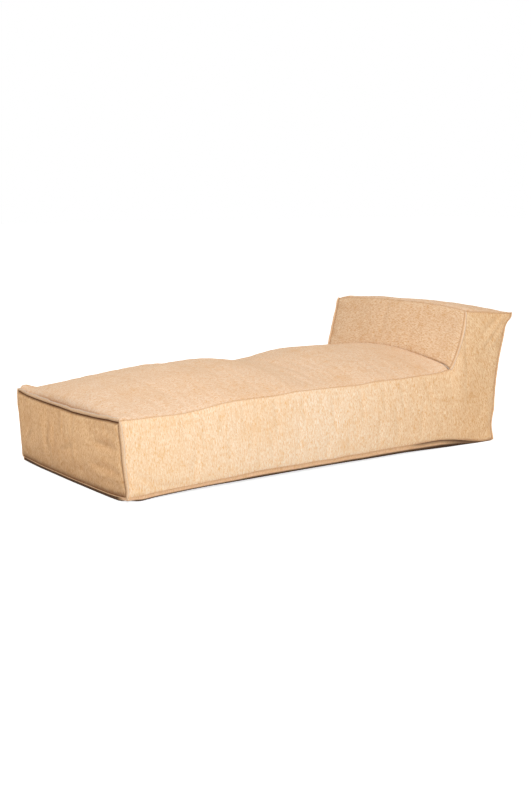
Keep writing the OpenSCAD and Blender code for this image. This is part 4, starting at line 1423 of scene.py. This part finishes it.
def rounded_copy(name, node, body, width, steps):
    """A CAD solid's shape with its edges rounded."""
    bm = merged_copy(node)
    bmesh.ops.dissolve_limit(bm, angle_limit=radians(1), verts=bm.verts, edges=bm.edges)
    sharp = [e for e in bm.edges if e.is_manifold and e.calc_face_angle(0) > radians(35)]
    bmesh.ops.bevel(bm, geom=sharp, offset=width, segments=steps, profile=.5, affect="EDGES",
                    clamp_overlap=True)
    bmesh.ops.recalc_face_normals(bm, faces=bm.faces)
    declare(place(name, smooth_mesh(name, bm, 40), ZIP_METAL), node, body)


def make_zip():
    make_tape("upper_tape", "zip_tape_upper")
    make_tape("lower_tape", "zip_tape_lower")
    tree = coil_tree()
    make_coil(tree, "upper_coil", "zip_coil_upper")
    make_coil(tree, "lower_coil", "zip_coil_lower")
    rounded_copy("closed_end_stops", "zip_closed_stop", "lounger", .5 * MM, 3)
    rounded_copy("open_end_stop", "zip_open_stop", "lounger", .5 * MM, 3)
    rounded_copy("slider_body", "zip_slider", "zip_slider", .22 * MM, 2)
    rounded_copy("pull_tab", "zip_pull", "zip_pull", .3 * MM, 2)


# Inside: two bags of beads, the bags' flaps, and the baffles between the seat's chambers

INNER_SLACK = 2.2 * MM
INNER_CELL = 26 * MM


def make_inner(name, node, around, material):
    """A hidden bag or filling: the solid's shape in fine cells, pulled in unevenly."""
    low, high = np.array(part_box(around))
    bm = merged_copy(node)
    for _ in range(5):
        long = [e for e in bm.edges if e.calc_length() > INNER_CELL]
        if not long:
            break
        bmesh.ops.subdivide_edges(bm, edges=long, cuts=1)
        bmesh.ops.triangulate(bm, faces=[f for f in bm.faces if len(f.verts) > 4])
    points = np.array([v.co for v in bm.verts])
    away = (points - (low + high) / 2) / ((high - low) / 2)
    slack = INNER_SLACK * (.5 + .5 * np.clip(uneven(points, 61), -1, 1))
    for vert, co in zip(bm.verts, points - away * slack[:, None]):
        vert.co = co
    return declare(place(name, smooth_mesh(name, bm, 50), material), node)


def make_insides():
    for name, node, around in (("seat_inner_bag", "seat_bag", "seat_bag"),
                               ("headrest_inner_bag", "headrest_bag", "headrest_bag")):
        make_inner(name, node, around, BAG_COTTON)
    for name, node, around in (("calf_filling", "seat_fill_calf", "seat_bag"),
                               ("thigh_filling", "seat_fill_thigh", "seat_bag"),
                               ("hip_filling", "seat_fill_hip", "seat_bag"),
                               ("headrest_filling", "headrest_fill", "headrest_bag")):
        make_inner(name, node, around, BEADS)
    for name, node, around, held in (("calf_baffle", "seat_baffle_calf", "seat_bag", "stretched"),
                                     ("hip_baffle", "seat_baffle_hip", "seat_bag", "stretched"),
                                     ("seat_bag_closure", "seat_bag_flap", "seat_bag", "laid"),
                                     ("headrest_bag_closure", "headrest_bag_flap", "headrest_bag", "laid")):
        low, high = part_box(node)
        piece = make_inner(name, node, around, BAG_COTTON)


# Floor, light and camera

FLOOR_DROP = .6 * MM
FLOOR_HALF = 30
# The rectangle round which the floor is lifted: shift to its middle, and half its size
LIFT_SHIFT = (.034, 0, 0)
LIFT_HALF = (.835, .312, 0)
# The camera, fitted to the photograph
LENS = 53.116
SENSOR = 36
CAMERA_AT = (-2.7765, -3.7836, 1.0406)
CAMERA_PITCH = -10.0577
CAMERA_YAW = -35.8347


def make_floor():
    """A matt floor. For the camera its shade is lifted round the footprint, to white far off."""
    t = Tree("studio_floor")
    space = t.space()
    cloudy = t.blend(t.noise(space, 3), (.76, .79, .83, 1), (.79, .82, .86, 1))
    matt = t.node("BsdfDiffuse", {"Color": cloudy})
    flat = t.vector("ABSOLUTE", t.vector("ADD", space, LIFT_SHIFT))
    off = t.split(t.vector("SUBTRACT", flat, LIFT_HALF))
    outside = t.math("MAXIMUM", off["X"], off["Y"])
    lift = t.math("ADD", t.band(outside, 0, .02, 0, .8), t.band(outside, .1, .9, 0, .2))
    seen = t.node("LightPath").outputs["Is Camera Ray"]
    glow = t.node("Emission", {"Color": (1, 1, 1, 1), "Strength": t.scaled(seen, lift)})
    t.end(t.node("AddShader", {0: matt.outputs[0], 1: glow.outputs[0]}).outputs[0])
    r = FLOOR_HALF
    mesh = new_mesh("floor", [(-r, -r, 0), (r, -r, 0), (r, r, 0), (-r, r, 0)], [(0, 1, 2, 3)])
    floor = place("floor", mesh, t.owner)
    floor.location.z = -FLOOR_DROP


def make_world():
    """A warm dim room, plain white where the camera, a reflection or glass sees it."""
    t = Tree("studio", world=True)
    bpy.context.scene.world = t.owner
    path = t.node("LightPath").outputs
    seen = t.math("MAXIMUM", path["Is Camera Ray"], path["Is Glossy Ray"])
    seen = t.math("MAXIMUM", seen, path["Is Transmission Ray"])
    room = t.node("Background", {"Color": (1.0, .84, .69, 1), "Strength": .42})
    white = t.node("Background", {"Color": (1, 1, 1, 1), "Strength": 1})
    t.end(t.node("MixShader", {0: seen, 1: room.outputs[0], 2: white.outputs[0]}).outputs[0])


def lamp(name, place_at, aim, size, watts, colour):
    data = bpy.data.lights.new(name, "AREA")
    data.shape = "RECTANGLE"
    data.size, data.size_y = size
    data.energy = watts
    data.color = colour
    obj = bpy.data.objects.new(name, data)
    bpy.context.scene.collection.objects.link(obj)
    obj.location = place_at
    obj.rotation_euler = (Vector(aim) - Vector(place_at)).to_track_quat("-Z", "Y").to_euler()


def make_lights():
    lamp("key_softbox", (-2.3, -3.7, 2.2), (-.2, 0, .2), (2.4, 1.8), 103, (.95, .98, 1.0))
    lamp("top_softbox", (-.6, -.2, 3.4), (-.1, 0, .2), (2.6, 2.2), 33, (1.0, .99, .97))
    lamp("side_softbox", (1.7, -4.2, 1.5), (.8, 0, .3), (1.8, 1.5), 20, (1.0, .80, .52))
    lamp("foot_fill", (-4.5, 1.5, 1.2), (-.9, .2, .2), (2.0, 1.6), 17, (1.0, .93, .84))


def make_camera():
    data = bpy.data.cameras.new("camera")
    data.lens = LENS
    data.sensor_width = SENSOR
    data.sensor_fit = "AUTO"
    camera = bpy.data.objects.new("camera", data)
    bpy.context.scene.collection.objects.link(camera)
    camera.location = CAMERA_AT
    camera.rotation_euler = (radians(90 + CAMERA_PITCH), 0, radians(CAMERA_YAW))
    bpy.context.scene.camera = camera


def make_covers():
    sims = {}
    for name, spec in COVERS.items():
        if spec["us_sim"] is not None:
            sims[name] = (spec["surface"], spec["us_sim"], spec["vs_sim"])
    moved = filled_out(sims) if sims else {}
    for name, spec in COVERS.items():
        make_cover(name, spec, moved)


def make_welts():
    make_side_welt("near_side_flange", NEAR_S, -1, "near_side_welt", 31)
    make_side_welt("far_side_flange", FAR_S, 1, "far_side_welt", 33)
    make_cross_welt("foot_top_flange", FOOT_TOP, (-.38, 0, .92), True, "foot_top_welt", 35)
    make_cross_welt("foot_base_ridge", FOOT_BASE, (-.7, 0, -.7), False, "foot_base_welt", 37)
    make_cross_welt("headrest_front_ridge", HEAD_FRONT, (-.7, 0, .7), False, "headrest_front_welt", 39)
    make_cross_welt("headrest_back_ridge", HEAD_BACK, (.7, 0, .7), False, "headrest_back_welt", 41)
    make_cross_welt("back_base_ridge", BACK_BASE, (.7, 0, -.7), False, "back_base_welt", 43)
    make_nook_welt()


make_camera()
make_covers()
make_welts()
make_stitches()
make_zip()
make_insides()
make_floor()
make_world()
make_lights()

bpy.context.scene.view_settings.view_transform = "Standard"
